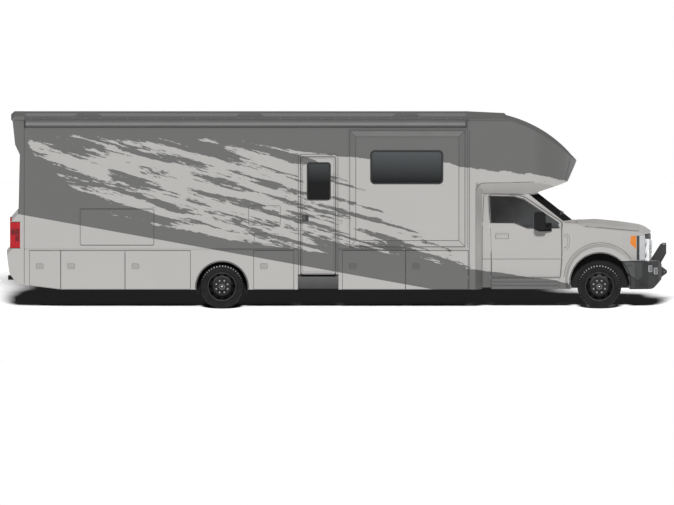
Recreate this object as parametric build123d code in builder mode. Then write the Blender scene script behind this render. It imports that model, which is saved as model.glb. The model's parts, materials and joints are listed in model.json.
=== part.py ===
from build123d import *
import math
import os

# Long-nosed motorhome: a cab chassis that carries a box-shaped living body.
# Millimetres. X forward, Y to the left, Z up, the floor at Z = 0.

os.makedirs("parts", exist_ok=True)

# ---------------------------------------------------------------- driving dimensions
# Running gear
front_axle_x = 4538
wheelbase = 6528
tyre_radius = 380
tyre_width = 225
tread_width = 190
shoulder_drop = 24
rim_radius = 246
rim_lip = 10
rim_width = 190
disc_thickness = 16
disc_ring_radius = 158
disc_dish = 26
outer_disc_out = -52
inner_disc_out = 52
front_disc_out = 30
hand_hole_radius = 206
hand_hole_count = 10
hand_hole_length = 58
hand_hole_width = 38
hub_radius = 76
hub_depth = 60
front_wheel_y = 985
king_pin_y = 850
king_pin_radius = 20
twin_wheel_y = 940
twin_pitch = 270
spindle_radius = 30
axle_tube_radius = 70
spring_y = 430
spring_width = 76
spring_thickness = 46
front_spring_reach = 640
rear_spring_reach = 800
drive_shaft_radius = 48

# Chassis frame
rail_y = 430
rail_flange = 80
rail_web = 10
rail_bottom_z = 600
rail_height = 250
rail_rear_x = -5380
rail_front_x = 5180
outrigger_width = 120
hitch_z = 500
hitch_end_x = -5690
hitch_outer = 76
hitch_bore = 51

# Engine group
engine_rear_x = 4200
engine_front_x = 5020
engine_half_width = 320
engine_bottom_z = 520
engine_top_z = 1270
gearbox_length = 900
gearbox_half_width = 170
gearbox_height = 300
radiator_front_x = 5230
radiator_thickness = 90
radiator_half_width = 420
radiator_top_z = 1230

# Living body
rear_wall_x = -5411
front_wall_x = 2275
house_half_width = 1270
wall_thickness = 45
bay_top_z = 1018
belt_height = 32
floor_top_z = 1090
roof_top_z = 3335
roof_height = 74
roof_skin_drop = 34
roof_rail_width = 60

# Lower bays
skirt_bottom_z = 337
tail_skirt_z = 405
tail_rise_x = -4780
bay_depth = 690
bay_floor_z = 430
bay_sheet = 20
bay_door_thickness = 30
bay_door_gap = 3
latch_width = 126
latch_height = 98
latch_proud = 5
latch_z = 739
arch_panel_half = 544
rear_arch_radius = 450

# Side door
entry_rear_x = -678
entry_width = 704
entry_top_z = 2685
entry_post = 66
entry_trim = 40
entry_bottom_z = 600
entry_glass_x = -509
entry_glass_width = 388
entry_glass_drop = 159
entry_glass_height = 635
step_top_z = 559
step_bottom_z = 351

# Slide-out rooms
slide_bottom_z = 1073
slide_height = 2019
slide_overlap = 60
slide_clearance = 8
slide_wall = 40
slide_depth = 600
slide_face_thickness = 30
slide_face_bevel = 18
slide_border = 112
slide_glass_z = 2175
slide_glass_height = 560

# Cab
cab_rear_x = 2420
cab_front_x = 4040
cab_skin = 50
cab_floor_z = 900
cab_top_z = 1985
door_thickness = 66
door_gap = 7
glass_thickness = 6
glass_inset = 14

# Common clearances
moving_gap = 8
running_clearance = 2

# ---------------------------------------------------------------- derived places
rear_axle_x = front_axle_x - wheelbase
wall_bottom_z = bay_top_z + belt_height
wall_top_z = roof_top_z - roof_height
wall_inner_y = house_half_width - wall_thickness
rail_top_z = rail_bottom_z + rail_height
entry_front_x = entry_rear_x + entry_width
entry_glass_z = entry_top_z - entry_glass_drop - entry_glass_height
bay_back_y = house_half_width - bay_depth
slide_top_z = slide_bottom_z + slide_height
roof_skin_z = roof_top_z - roof_skin_drop


# ---------------------------------------------------------------- outline helpers
def span(side, inner, outer):
    """Y limits, low one first, of a piece between two distances from the centre plane."""
    return sorted((side * inner, side * outer))


def side_slab(points, y_limits, mode=Mode.ADD):
    """An X, Z outline made solid between two Y limits, in the part being built."""
    y_from, y_to = y_limits
    with BuildSketch(Plane.XZ.offset(-y_to)) as outline:
        with BuildLine():
            Polyline(*points, close=True)
        make_face()
    extrude(outline.sketch, amount=y_to - y_from, mode=mode)


def plan_slab(points, z_from, z_to, mode=Mode.ADD):
    """An X, Y outline made solid between two heights, in the part being built."""
    with BuildSketch(Plane.XY.offset(z_from)) as outline:
        with BuildLine():
            Polyline(*points, close=True)
        make_face()
    extrude(outline.sketch, amount=z_to - z_from, mode=mode)


def cross_slab(points, x_from, x_to, mode=Mode.ADD):
    """A Y, Z outline made solid between two X stations, in the part being built."""
    with BuildSketch(Plane.YZ.offset(x_from)) as outline:
        with BuildLine():
            Polyline(*points, close=True)
        make_face()
    extrude(outline.sketch, amount=x_to - x_from, mode=mode)


def block(x_from, x_to, y_limits, z_from, z_to, mode=Mode.ADD):
    """A box between X, Y and Z limits, in the part being built."""
    y_from, y_to = y_limits
    corners = [(x_from, y_from), (x_to, y_from), (x_to, y_to), (x_from, y_to)]
    plan_slab(corners, z_from, z_to, mode)


def bar_along_y(x, z, radius, y_limits, mode=Mode.ADD):
    """A round bar or bore across the body, in the part being built."""
    y_from, y_to = y_limits
    with BuildSketch(Plane.XZ.offset(-y_to)) as outline:
        with Locations((x, z)):
            Circle(radius)
    extrude(outline.sketch, amount=y_to - y_from, mode=mode)


def bar_along_x(y, z, radius, x_from, x_to, mode=Mode.ADD):
    """A round bar along the body, in the part being built."""
    with BuildSketch(Plane.YZ.offset(x_from)) as outline:
        with Locations((y, z)):
            Circle(radius)
    extrude(outline.sketch, amount=x_to - x_from, mode=mode)


def bar_along_z(x, y, radius, z_from, z_to, mode=Mode.ADD):
    """An upright round bar or bore, in the part being built."""
    with BuildSketch(Plane.XY.offset(z_from)) as outline:
        with Locations((x, y)):
            Circle(radius)
    extrude(outline.sketch, amount=z_to - z_from, mode=mode)


def rounded_panel(x_from, x_to, z_from, z_to, radius, y_limits, mode=Mode.ADD):
    """A side panel with round corners, in the part being built."""
    y_from, y_to = y_limits
    with BuildSketch(Plane.XZ.offset(-y_to)) as outline:
        with Locations(((x_from + x_to) / 2, (z_from + z_to) / 2)):
            RectangleRounded(x_to - x_from, z_to - z_from, radius)
    extrude(outline.sketch, amount=y_to - y_from, mode=mode)


def write(part, name):
    """Names a finished piece and writes it as its own STEP file."""
    part.label = name
    export_step(part, "parts/" + name + ".step")


side_sign = {"right": -1, "left": 1}

# ---------------------------------------------------------------- chassis frame
outrigger_stations = (
    rail_rear_x + outrigger_width / 2,
    tail_rise_x,
    rear_axle_x - arch_panel_half,
    rear_axle_x + arch_panel_half,
    entry_front_x + entry_post,
    front_wall_x - outrigger_width / 2,
)
gearbox_rear_x = engine_rear_x - gearbox_length
cross_member_stations = outrigger_stations + (gearbox_rear_x - 300, rail_front_x - outrigger_width / 2)
cross_member_height = 60
cross_member_z = rail_top_z - rail_web - cross_member_height

with BuildPart() as chassis_frame:
    for side in (-1, 1):
        block(rail_rear_x, rail_front_x, span(side, rail_y - rail_web, rail_y), rail_bottom_z, rail_top_z)
        for flange_z in (rail_bottom_z, rail_top_z - rail_web):
            block(rail_rear_x, rail_front_x, span(side, rail_y - rail_flange, rail_y),
                  flange_z, flange_z + rail_web)
    for x in cross_member_stations:
        block(x - outrigger_width / 2, x + outrigger_width / 2, (-rail_y + rail_web, rail_y - rail_web),
              cross_member_z, cross_member_z + cross_member_height)
    for x in outrigger_stations:
        block(x - outrigger_width / 2, x + outrigger_width / 2, (-bay_back_y, bay_back_y),
              rail_top_z, bay_top_z)
    # hitch: drop plates, a cross bar and a square receiver
    for side in (-1, 1):
        block(rail_rear_x, rail_rear_x + 80, span(side, rail_y - rail_flange, rail_y),
              hitch_z - 40, rail_bottom_z)
    block(rail_rear_x, rail_rear_x + 80, (-rail_y, rail_y), hitch_z - 40, hitch_z + 40)
    block(hitch_end_x, rail_rear_x + 80, (-hitch_outer / 2, hitch_outer / 2), hitch_z - hitch_outer / 2,
          hitch_z + hitch_outer / 2)
    block(hitch_end_x, rail_rear_x + 80, (-hitch_bore / 2, hitch_bore / 2), hitch_z - hitch_bore / 2,
          hitch_z + hitch_bore / 2, Mode.SUBTRACT)
write(chassis_frame.part, "chassis_frame")


# ---------------------------------------------------------------- axles and knuckles
def leaf_spring(x_centre, reach, side, low_z):
    """A spring pack that bows down to its axle from two eyes under the rail."""
    y_low, y_high = span(side, spring_y - spring_width / 2, spring_y + spring_width / 2)
    with BuildSketch(Plane.XZ.offset(-y_high)) as pack:
        with BuildLine():
            ThreePointArc((x_centre - reach, rail_bottom_z - spring_thickness), (x_centre, low_z),
                          (x_centre + reach, rail_bottom_z - spring_thickness))
            Line((x_centre + reach, rail_bottom_z - spring_thickness), (x_centre + reach, rail_bottom_z))
            ThreePointArc((x_centre + reach, rail_bottom_z), (x_centre, low_z + spring_thickness),
                          (x_centre - reach, rail_bottom_z))
            Line((x_centre - reach, rail_bottom_z), (x_centre - reach, rail_bottom_z - spring_thickness))
        make_face()
    extrude(pack.sketch, amount=y_high - y_low)


spring_seat = 14
axle_eye_radius = 44
axle_eye_height = 110
beam_half = 46
beam_drop = 70

beam_outer_y = king_pin_y - axle_eye_radius / 2
with BuildPart() as front_axle:
    beam_stations = (
        # Y, drop of the beam below the wheel centres
        (-beam_outer_y, 0), (-beam_outer_y + 140, 0), (-beam_outer_y + 240, beam_drop),
        (beam_outer_y - 240, beam_drop), (beam_outer_y - 140, 0), (beam_outer_y, 0),
    )
    beam_outline = [(y, tyre_radius + beam_half - drop) for y, drop in beam_stations]
    beam_outline += [(y, tyre_radius - beam_half - drop) for y, drop in reversed(beam_stations)]
    cross_slab(beam_outline, front_axle_x - beam_half, front_axle_x + beam_half)
    for side in (-1, 1):
        bar_along_z(front_axle_x, side * king_pin_y, axle_eye_radius,
                    tyre_radius - axle_eye_height / 2, tyre_radius + axle_eye_height / 2)
        leaf_spring(front_axle_x, front_spring_reach, side,
                    tyre_radius + beam_half - beam_drop - spring_seat)
    for side in (-1, 1):
        bar_along_z(front_axle_x, side * king_pin_y, king_pin_radius + running_clearance,
                    0, 2 * tyre_radius, Mode.SUBTRACT)
write(front_axle.part, "front_axle")

diff_radius = 190
shaft_start = (gearbox_rear_x, engine_bottom_z + 110)
shaft_end = (rear_axle_x + diff_radius + 120, tyre_radius)
inner_disc_y = twin_wheel_y - twin_pitch / 2 + inner_disc_out + disc_dish - disc_thickness
tube_end_y = inner_disc_y - moving_gap
with BuildPart() as rear_axle:
    bar_along_y(rear_axle_x, tyre_radius, axle_tube_radius, (-tube_end_y, tube_end_y))
    bar_along_y(rear_axle_x, tyre_radius, spindle_radius, (-twin_wheel_y, twin_wheel_y))
    bar_along_y(rear_axle_x, tyre_radius, diff_radius, (-120, 120))
    bar_along_x(0, tyre_radius, drive_shaft_radius + 40, rear_axle_x, shaft_end[0])
    # propeller shaft, up to the gearbox
    side_slab([
        (shaft_start[0], shaft_start[1] - drive_shaft_radius),
        (shaft_start[0], shaft_start[1] + drive_shaft_radius),
        (shaft_end[0], shaft_end[1] + drive_shaft_radius),
        (shaft_end[0], shaft_end[1] - drive_shaft_radius),
    ], (-drive_shaft_radius, drive_shaft_radius))
    for side in (-1, 1):
        leaf_spring(rear_axle_x, rear_spring_reach, side, tyre_radius + axle_tube_radius - spring_seat)
write(rear_axle.part, "rear_axle")

knuckle_arm = 24
arm_gap = 6
knuckle_plate_y = king_pin_y + axle_eye_radius + 12
knuckle_plate = 26
knuckle_plate_radius = 120
arm_top_z = tyre_radius + axle_eye_height / 2 + arm_gap + knuckle_arm
arm_bottom_z = tyre_radius - axle_eye_height / 2 - arm_gap - knuckle_arm
for side_name, side in side_sign.items():
    with BuildPart() as knuckle:
        for arm_z in (arm_bottom_z, arm_top_z - knuckle_arm):
            block(front_axle_x - 50, front_axle_x + 50, span(side, king_pin_y - 44, knuckle_plate_y),
                  arm_z, arm_z + knuckle_arm)
        bar_along_z(front_axle_x, side * king_pin_y, king_pin_radius, arm_bottom_z, arm_top_z)
        bar_along_y(front_axle_x, tyre_radius, knuckle_plate_radius,
                    span(side, knuckle_plate_y, knuckle_plate_y + knuckle_plate))
        bar_along_y(front_axle_x, tyre_radius, spindle_radius,
                    span(side, knuckle_plate_y + knuckle_plate, front_wheel_y + 20))
        # track-rod arm
        block(front_axle_x - 190, front_axle_x - 40, span(side, king_pin_y - 90, king_pin_y - 50),
              arm_bottom_z, arm_bottom_z + knuckle_arm)
        block(front_axle_x - 60, front_axle_x - 40, span(side, king_pin_y - 90, king_pin_y),
              arm_bottom_z, arm_bottom_z + knuckle_arm)
    write(knuckle.part, "knuckle_" + side_name)

# ---------------------------------------------------------------- wheels
bead_radius = rim_radius + 2
sidewall_radius = 316
bead_half = 84
bead_thickness = 14
tyre_flats = 48
tyre_half_profile = (
    # radius of the flats, distance from the middle
    (bead_radius, bead_half), (bead_radius + bead_thickness, bead_half),
    (sidewall_radius, tyre_width / 2), (tyre_radius - shoulder_drop, tread_width / 2),
    (tyre_radius, tread_width / 2 - shoulder_drop),
)
tyre_profile = tyre_half_profile + tuple((radius, -y) for radius, y in reversed(tyre_half_profile))
half_turn = 180 / tyre_flats
corner_reach = 1 / math.cos(math.radians(half_turn))
tyre_corners = [
    [Vector(radius * corner_reach, y, 0).rotate(Axis.Y, half_turn * (2 * turn + 1))
     for radius, y in tyre_profile]
    for turn in range(tyre_flats)
]
# A tyre about the origin, in flats as wide as a tread block, one flat on the ground
tyre_flat_faces = [
    Face(Wire.make_polygon([behind[i], behind[i - 1], ahead[i - 1], ahead[i]]))
    for behind, ahead in zip(tyre_corners, tyre_corners[1:] + tyre_corners[:1])
    for i in range(len(tyre_profile))
]
with BuildPart() as tyre:
    add(Solid(Shell(tyre_flat_faces)))


def rim_shell(x, y, side, disc_out):
    """A disc wheel: barrel with lips, and a disc that stands disc_out beyond the wheel centre."""
    lip_half = rim_width / 2
    centre_plane = Plane(origin=(x, y, tyre_radius), x_dir=(1, 0, 0), z_dir=(0, 0, 1))
    inner_radius = rim_radius - rim_lip - 4
    with BuildSketch(centre_plane) as barrel:
        with BuildLine():
            Polyline((inner_radius, -lip_half), (rim_radius, -lip_half), (rim_radius, lip_half),
                     (inner_radius, lip_half), close=True)
        make_face()
    revolve(barrel.sketch, axis=Axis((x, y, tyre_radius), (0, 1, 0)))
    out = side * disc_out
    face = side * disc_thickness
    dish = side * disc_dish
    with BuildSketch(centre_plane) as disc:
        with BuildLine():
            Polyline(
                (spindle_radius + running_clearance, out + dish), (disc_ring_radius, out + dish),
                (disc_ring_radius + 16, out), (inner_radius + 2, out - dish),
                (inner_radius + 2, out - dish - face), (disc_ring_radius + 8, out - face),
                (disc_ring_radius - 8, out + dish - face),
                (spindle_radius + running_clearance, out + dish - face),
                close=True,
            )
        make_face()
    revolve(disc.sketch, axis=Axis((x, y, tyre_radius), (0, 1, 0)))


def hub_cap(x, y, side, disc_out):
    """The hub in the middle of a disc, bored for its spindle."""
    face_y = y + side * (disc_out + disc_dish)
    bar_along_y(x, tyre_radius, hub_radius, sorted((face_y - side * 60, face_y + side * hub_depth)))
    bar_along_y(x, tyre_radius, spindle_radius + running_clearance,
                sorted((face_y - side * 70, face_y + side * (hub_depth - 14))), Mode.SUBTRACT)


def hand_holes(x, y):
    """Cuts the ring of oval hand holes through a disc."""
    with BuildSketch(Plane.XZ.offset(-y - 130)) as holes:
        with Locations((x, tyre_radius)):
            with PolarLocations(hand_hole_radius, hand_hole_count):
                SlotOverall(hand_hole_length, hand_hole_width, rotation=90)
    extrude(holes.sketch, amount=260, mode=Mode.SUBTRACT)


for side_name, side in side_sign.items():
    with BuildPart() as front_tyre:
        with Locations((front_axle_x, side * front_wheel_y, tyre_radius)):
            add(tyre.part)
    write(front_tyre.part, "front_tyre_" + side_name)

    with BuildPart() as front_rim:
        rim_shell(front_axle_x, side * front_wheel_y, side, front_disc_out)
        hub_cap(front_axle_x, side * front_wheel_y, side, front_disc_out)
        hand_holes(front_axle_x, side * front_wheel_y)
    write(front_rim.part, "front_rim_" + side_name)

    outer_y = side * (twin_wheel_y + twin_pitch / 2)
    inner_y = side * (twin_wheel_y - twin_pitch / 2)
    with BuildPart() as rear_tyres:
        with Locations([(rear_axle_x, wheel_y, tyre_radius) for wheel_y in (outer_y, inner_y)]):
            add(tyre.part)
    write(rear_tyres.part, "rear_tyres_" + side_name)

    with BuildPart() as rear_rims:
        rim_shell(rear_axle_x, outer_y, side, outer_disc_out)
        rim_shell(rear_axle_x, inner_y, side, inner_disc_out)
        bar_along_y(rear_axle_x, tyre_radius, hub_radius,
                    span(side, inner_disc_y, twin_wheel_y + twin_pitch / 2 + hub_depth))
        bar_along_y(rear_axle_x, tyre_radius, spindle_radius + running_clearance,
                    span(side, inner_disc_y, twin_wheel_y + 10), Mode.SUBTRACT)
        for wheel_y in (outer_y, inner_y):
            hand_holes(rear_axle_x, wheel_y)
    write(rear_rims.part, "rear_rims_" + side_name)

# ---------------------------------------------------------------- engine group
gearbox_top_z = engine_bottom_z + gearbox_height
with BuildPart() as engine_block:
    block(engine_rear_x, engine_front_x, (-engine_half_width, engine_half_width),
          engine_bottom_z, engine_top_z)
    block(gearbox_rear_x, engine_rear_x, (-gearbox_half_width, gearbox_half_width),
          engine_bottom_z, gearbox_top_z)
    # mounts that sit on the rails
    block(engine_rear_x + 300, engine_rear_x + 420, (-rail_y, rail_y), rail_top_z, rail_top_z + 40)
write(engine_block.part, "engine_block")

# Exhaust: silencer and tail pipe beside the propeller shaft, hung under the cross members.
pipe_y = -270
pipe_z = 530
pipe_radius = 36
silencer_radius = 64
silencer_x = 1300
with BuildPart() as exhaust_pipe:
    bar_along_x(pipe_y, pipe_z, pipe_radius, rail_rear_x + outrigger_width, engine_rear_x)
    bar_along_x(pipe_y, pipe_z, silencer_radius, silencer_x, silencer_x + 800)
    for x in (tail_rise_x, entry_front_x + entry_post, gearbox_rear_x - 300):
        block(x - 20, x + 20, (pipe_y - 20, pipe_y + 20), pipe_z, cross_member_z)
write(exhaust_pipe.part, "exhaust_pipe")

# Water tanks lie between the rails, behind the rear axle and ahead of it.
tank_side_gap = 12
tank_stations = (
    # rear X, front X
    (tail_rise_x + outrigger_width, rear_axle_x - arch_panel_half - 300),
    (rear_axle_x + arch_panel_half + 500, entry_front_x - 80),
)
with BuildPart() as water_tanks:
    for tank_rear_x, tank_front_x in tank_stations:
        block(tank_rear_x, tank_front_x, (90, rail_y - rail_flange - tank_side_gap), 460, rail_top_z)
        block(tank_rear_x, tank_front_x, (90, bay_back_y), rail_top_z, rail_top_z + 60)
write(water_tanks.part, "water_tanks")

# ---------------------------------------------------------------- lower bays
tail_bay_x = rear_wall_x + 88
second_cut_x = -3668
mid_cut_x = 1187
entry_bay_front_x = entry_rear_x - 68
entry_bay_rear_x = entry_front_x + entry_post
bays = (
    # side, rear X, front X
    ("right", tail_bay_x, tail_rise_x),
    ("right", tail_rise_x, second_cut_x),
    ("right", second_cut_x, rear_axle_x - arch_panel_half),
    ("right", rear_axle_x + arch_panel_half, entry_bay_front_x),
    ("right", entry_bay_rear_x, mid_cut_x),
    ("right", mid_cut_x, front_wall_x - 5),
    ("left", tail_rise_x, second_cut_x),
    ("left", second_cut_x, rear_axle_x - arch_panel_half),
    ("left", entry_bay_rear_x, mid_cut_x),
)
skirt_panels = (
    # side, rear X, front X
    ("right", rear_wall_x, tail_bay_x),
    ("right", rear_axle_x - arch_panel_half, rear_axle_x + arch_panel_half),
    ("right", entry_bay_front_x, entry_rear_x),
    ("right", entry_front_x, entry_bay_rear_x),
    ("left", rear_wall_x, tail_rise_x),
    ("left", rear_axle_x - arch_panel_half, rear_axle_x + arch_panel_half),
    ("left", rear_axle_x + arch_panel_half, entry_bay_rear_x),
    ("left", mid_cut_x, front_wall_x - 5),
)
door_inner_y = house_half_width - bay_door_thickness
bay_frame_y = door_inner_y - moving_gap


def skirt_z(x):
    """Height of the skirt's lower edge, which rises towards the tail."""
    rise = max(0, (tail_rise_x - x) / (tail_rise_x - tail_bay_x))
    return skirt_bottom_z + rise * (tail_skirt_z - skirt_bottom_z)


def skirt_outline(x_rear, x_front, gap):
    """A skirt panel's outline, drawn in by a gap all round."""
    return [
        (x_rear + gap, skirt_z(x_rear)), (x_front - gap, skirt_z(x_front)),
        (x_front - gap, bay_top_z - 2 * gap), (x_rear + gap, bay_top_z - 2 * gap),
    ]


box_gap = 2
arch_centre_z = tyre_radius - 10
box_runs = (
    # node, side, rear X, front X
    ("bay_boxes_right_rear", "right", rear_wall_x, entry_rear_x),
    ("bay_boxes", "right", entry_rear_x, front_wall_x),
    ("bay_boxes", "left", rear_wall_x, front_wall_x),
)


def bay_run(side_name, run_rear_x, run_front_x):
    """The open-sided boxes and the fixed skirt panels of one side, between two X limits."""
    side = side_sign[side_name]
    for owner, x_rear, x_front in bays:
        if owner == side_name and run_rear_x <= x_rear and x_front <= run_front_x:
            box_rear_x = x_rear + box_gap / 2
            box_front_x = x_front - box_gap / 2
            block(box_rear_x, box_front_x, span(side, bay_back_y, bay_frame_y), bay_floor_z, bay_top_z)
            block(box_rear_x + bay_sheet, box_front_x - bay_sheet,
                  span(side, bay_back_y + bay_sheet, bay_frame_y),
                  bay_floor_z + bay_sheet, bay_top_z, Mode.SUBTRACT)
    for owner, x_rear, x_front in skirt_panels:
        if owner == side_name and run_rear_x <= x_rear and x_front <= run_front_x:
            side_slab(skirt_outline(x_rear, x_front, 0), span(side, door_inner_y, house_half_width))


for node_name in ("bay_boxes", "bay_boxes_right_rear"):
    with BuildPart() as bay_boxes:
        for run_name, side_name, run_rear_x, run_front_x in box_runs:
            if run_name == node_name:
                bay_run(side_name, run_rear_x, run_front_x)
        for side in (-1, 1):
            bar_along_y(rear_axle_x, arch_centre_z, rear_arch_radius,
                        span(side, door_inner_y, house_half_width), Mode.SUBTRACT)
    write(bay_boxes.part, node_name)

latch_from_rear = 181
latch_radius = 14
bay_number = {"right": 0, "left": 0}
for side_name, x_rear, x_front in bays:
    side = side_sign[side_name]
    bay_number[side_name] += 1
    latch_x = x_rear + latch_from_rear
    with BuildPart() as bay_door:
        side_slab(skirt_outline(x_rear, x_front, bay_door_gap), span(side, door_inner_y, house_half_width))
        rounded_panel(latch_x - latch_width / 2, latch_x + latch_width / 2,
                      latch_z - latch_height / 2, latch_z + latch_height / 2, latch_radius,
                      span(side, house_half_width, house_half_width + latch_proud))
    write(bay_door.part, "bay_door_" + side_name + "_" + str(bay_number[side_name]))

# ---------------------------------------------------------------- floor and entry steps
belt_recess = 8
well_rear_x = entry_rear_x + entry_trim
well_front_x = entry_front_x - entry_trim
cheek = 20
with BuildPart() as house_floor:
    edge_y = house_half_width - belt_recess
    block(rear_wall_x, front_wall_x, (-edge_y, edge_y), bay_top_z, wall_bottom_z)
    block(rear_wall_x, front_wall_x, (-wall_inner_y, wall_inner_y), wall_bottom_z, floor_top_z)
    block(well_rear_x, well_front_x, (-edge_y, -bay_back_y), bay_top_z, floor_top_z, Mode.SUBTRACT)
    block(entry_rear_x, entry_front_x, (-edge_y, -door_inner_y), bay_top_z, wall_bottom_z, Mode.SUBTRACT)
write(house_floor.part, "house_floor")

tread_depth = 215
tread_rise = 177
step_front_y = -bay_frame_y
with BuildPart() as entry_steps:
    stair = [(step_front_y, step_bottom_z), (step_front_y, step_top_z)]
    for tread in (1, 2):
        tread_y = step_front_y + tread * tread_depth
        stair += [(tread_y, step_top_z + (tread - 1) * tread_rise),
                  (tread_y, step_top_z + tread * tread_rise)]
    top_tread_z = step_top_z + 2 * tread_rise
    stair += [
        (-bay_back_y - cheek, top_tread_z), (-bay_back_y - cheek, bay_top_z), (-bay_back_y, bay_top_z),
        (-bay_back_y, top_tread_z - 50), (step_front_y + 150, step_bottom_z),
    ]
    cross_slab(stair, well_rear_x, well_front_x)
    for x in (well_rear_x - cheek, well_front_x):
        block(x, x + cheek, (step_front_y, -bay_back_y), step_bottom_z, bay_top_z)
    rounded_panel(entry_rear_x + 4, entry_front_x - 4, step_bottom_z, step_top_z, 20,
                  (-house_half_width - 4, step_front_y))
write(entry_steps.part, "entry_steps")

# ---------------------------------------------------------------- walls
hatch_rear_x = -4446
hatch_length = 1280
hatch_bottom_z = 1102
hatch_height = 628
hatch_radius = 25
hatch_lip = 18
hatch_box_depth = 380
hatch_box_sheet = 15
hatch_front_x = hatch_rear_x + hatch_length
hatch_top_z = hatch_bottom_z + hatch_height
trim_proud = 10
entry_corner = 70

slides = (
    # side, rear X, length, window rear X positions, window length
    ("right", 213, 2008, (590,), 1233),
    ("left", -3300, 4600, (-2900, 40), 900),
)
vent_panels = (
    # rear X, front X, bottom Z, top Z
    (-1535, -976, 1445, 1791),
    (-1436, -1012, 1116, 1304),
)


def slide_hole(x_rear, length, inset):
    """X and Z limits of a slide-out's way through the wall, drawn in by an inset."""
    draw_in = slide_overlap + inset
    return x_rear + draw_in, x_rear + length - draw_in, slide_bottom_z + draw_in, slide_top_z - draw_in


trim_y = (-house_half_width - trim_proud, -door_inner_y)
hatch_back_y = -wall_inner_y + hatch_box_depth
with BuildPart() as side_walls:
    for side in (-1, 1):
        block(rear_wall_x, front_wall_x, span(side, wall_inner_y, house_half_width),
              wall_bottom_z, wall_top_z)
    for side_name, x_rear, length, window_starts, window_length in slides:
        hole_rear_x, hole_front_x, hole_bottom_z, hole_top_z = slide_hole(x_rear, length, 0)
        block(hole_rear_x, hole_front_x, span(side_sign[side_name], wall_inner_y, house_half_width),
              hole_bottom_z, hole_top_z, Mode.SUBTRACT)
    # side door frame, which runs on down past the floor
    rounded_panel(entry_rear_x, entry_front_x, entry_bottom_z, entry_top_z, entry_corner, trim_y)
    block(entry_rear_x, entry_front_x, trim_y, entry_bottom_z, entry_bottom_z + entry_corner)
    rounded_panel(well_rear_x, well_front_x, entry_bottom_z - 200, entry_top_z - entry_trim,
                  entry_corner - entry_trim / 2, (-house_half_width - trim_proud, -wall_inner_y),
                  Mode.SUBTRACT)
    # outside locker behind the large hatch
    block(hatch_rear_x + hatch_lip - hatch_box_sheet, hatch_front_x - hatch_lip + hatch_box_sheet,
          (-wall_inner_y, hatch_back_y), hatch_bottom_z + hatch_lip - hatch_box_sheet,
          hatch_top_z - hatch_lip + hatch_box_sheet)
    block(hatch_rear_x + hatch_lip, hatch_front_x - hatch_lip,
          (-house_half_width, hatch_back_y - hatch_box_sheet),
          hatch_bottom_z + hatch_lip, hatch_top_z - hatch_lip, Mode.SUBTRACT)
    rounded_panel(hatch_rear_x - moving_gap, hatch_front_x + moving_gap, hatch_bottom_z - moving_gap,
                  hatch_top_z + moving_gap, hatch_radius + moving_gap,
                  (-house_half_width, -house_half_width + hatch_lip), Mode.SUBTRACT)
    for x_rear, x_front, z_low, z_high in vent_panels:
        rounded_panel(x_rear, x_front, z_low, z_high, 16, (-house_half_width - 6, -house_half_width))
write(side_walls.part, "side_walls")

with BuildPart() as side_hatch:
    rounded_panel(hatch_rear_x, hatch_front_x, hatch_bottom_z, hatch_top_z, hatch_radius,
                  (-house_half_width - 2, -house_half_width + hatch_lip - moving_gap))
write(side_hatch.part, "side_hatch")

# ---------------------------------------------------------------- entry door
door_leaf_y = (-house_half_width - trim_proud, -wall_inner_y - 4)
leaf_rear_x = well_rear_x + moving_gap
leaf_front_x = well_front_x - moving_gap
leaf_top_z = entry_top_z - entry_trim - moving_gap
entry_glass_radius = 35
entry_handle_x = -606
entry_handle_z = 1514
with BuildPart() as entry_door:
    rounded_panel(leaf_rear_x, leaf_front_x, entry_bottom_z, leaf_top_z,
                  entry_corner - entry_trim / 2 - moving_gap / 2, door_leaf_y)
    rounded_panel(entry_glass_x, entry_glass_x + entry_glass_width, entry_glass_z,
                  entry_glass_z + entry_glass_height, entry_glass_radius, door_leaf_y, Mode.SUBTRACT)
    rounded_panel(entry_handle_x, entry_handle_x + 116, entry_handle_z, entry_handle_z + 112, 12,
                  (door_leaf_y[0] - 6, door_leaf_y[0]))
write(entry_door.part, "entry_door")

glass_y = door_leaf_y[0] + glass_inset
with BuildPart() as entry_door_glass:
    rounded_panel(entry_glass_x, entry_glass_x + entry_glass_width, entry_glass_z,
                  entry_glass_z + entry_glass_height, entry_glass_radius,
                  (glass_y, glass_y + glass_thickness))
write(entry_door_glass.part, "entry_door_glass")

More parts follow.
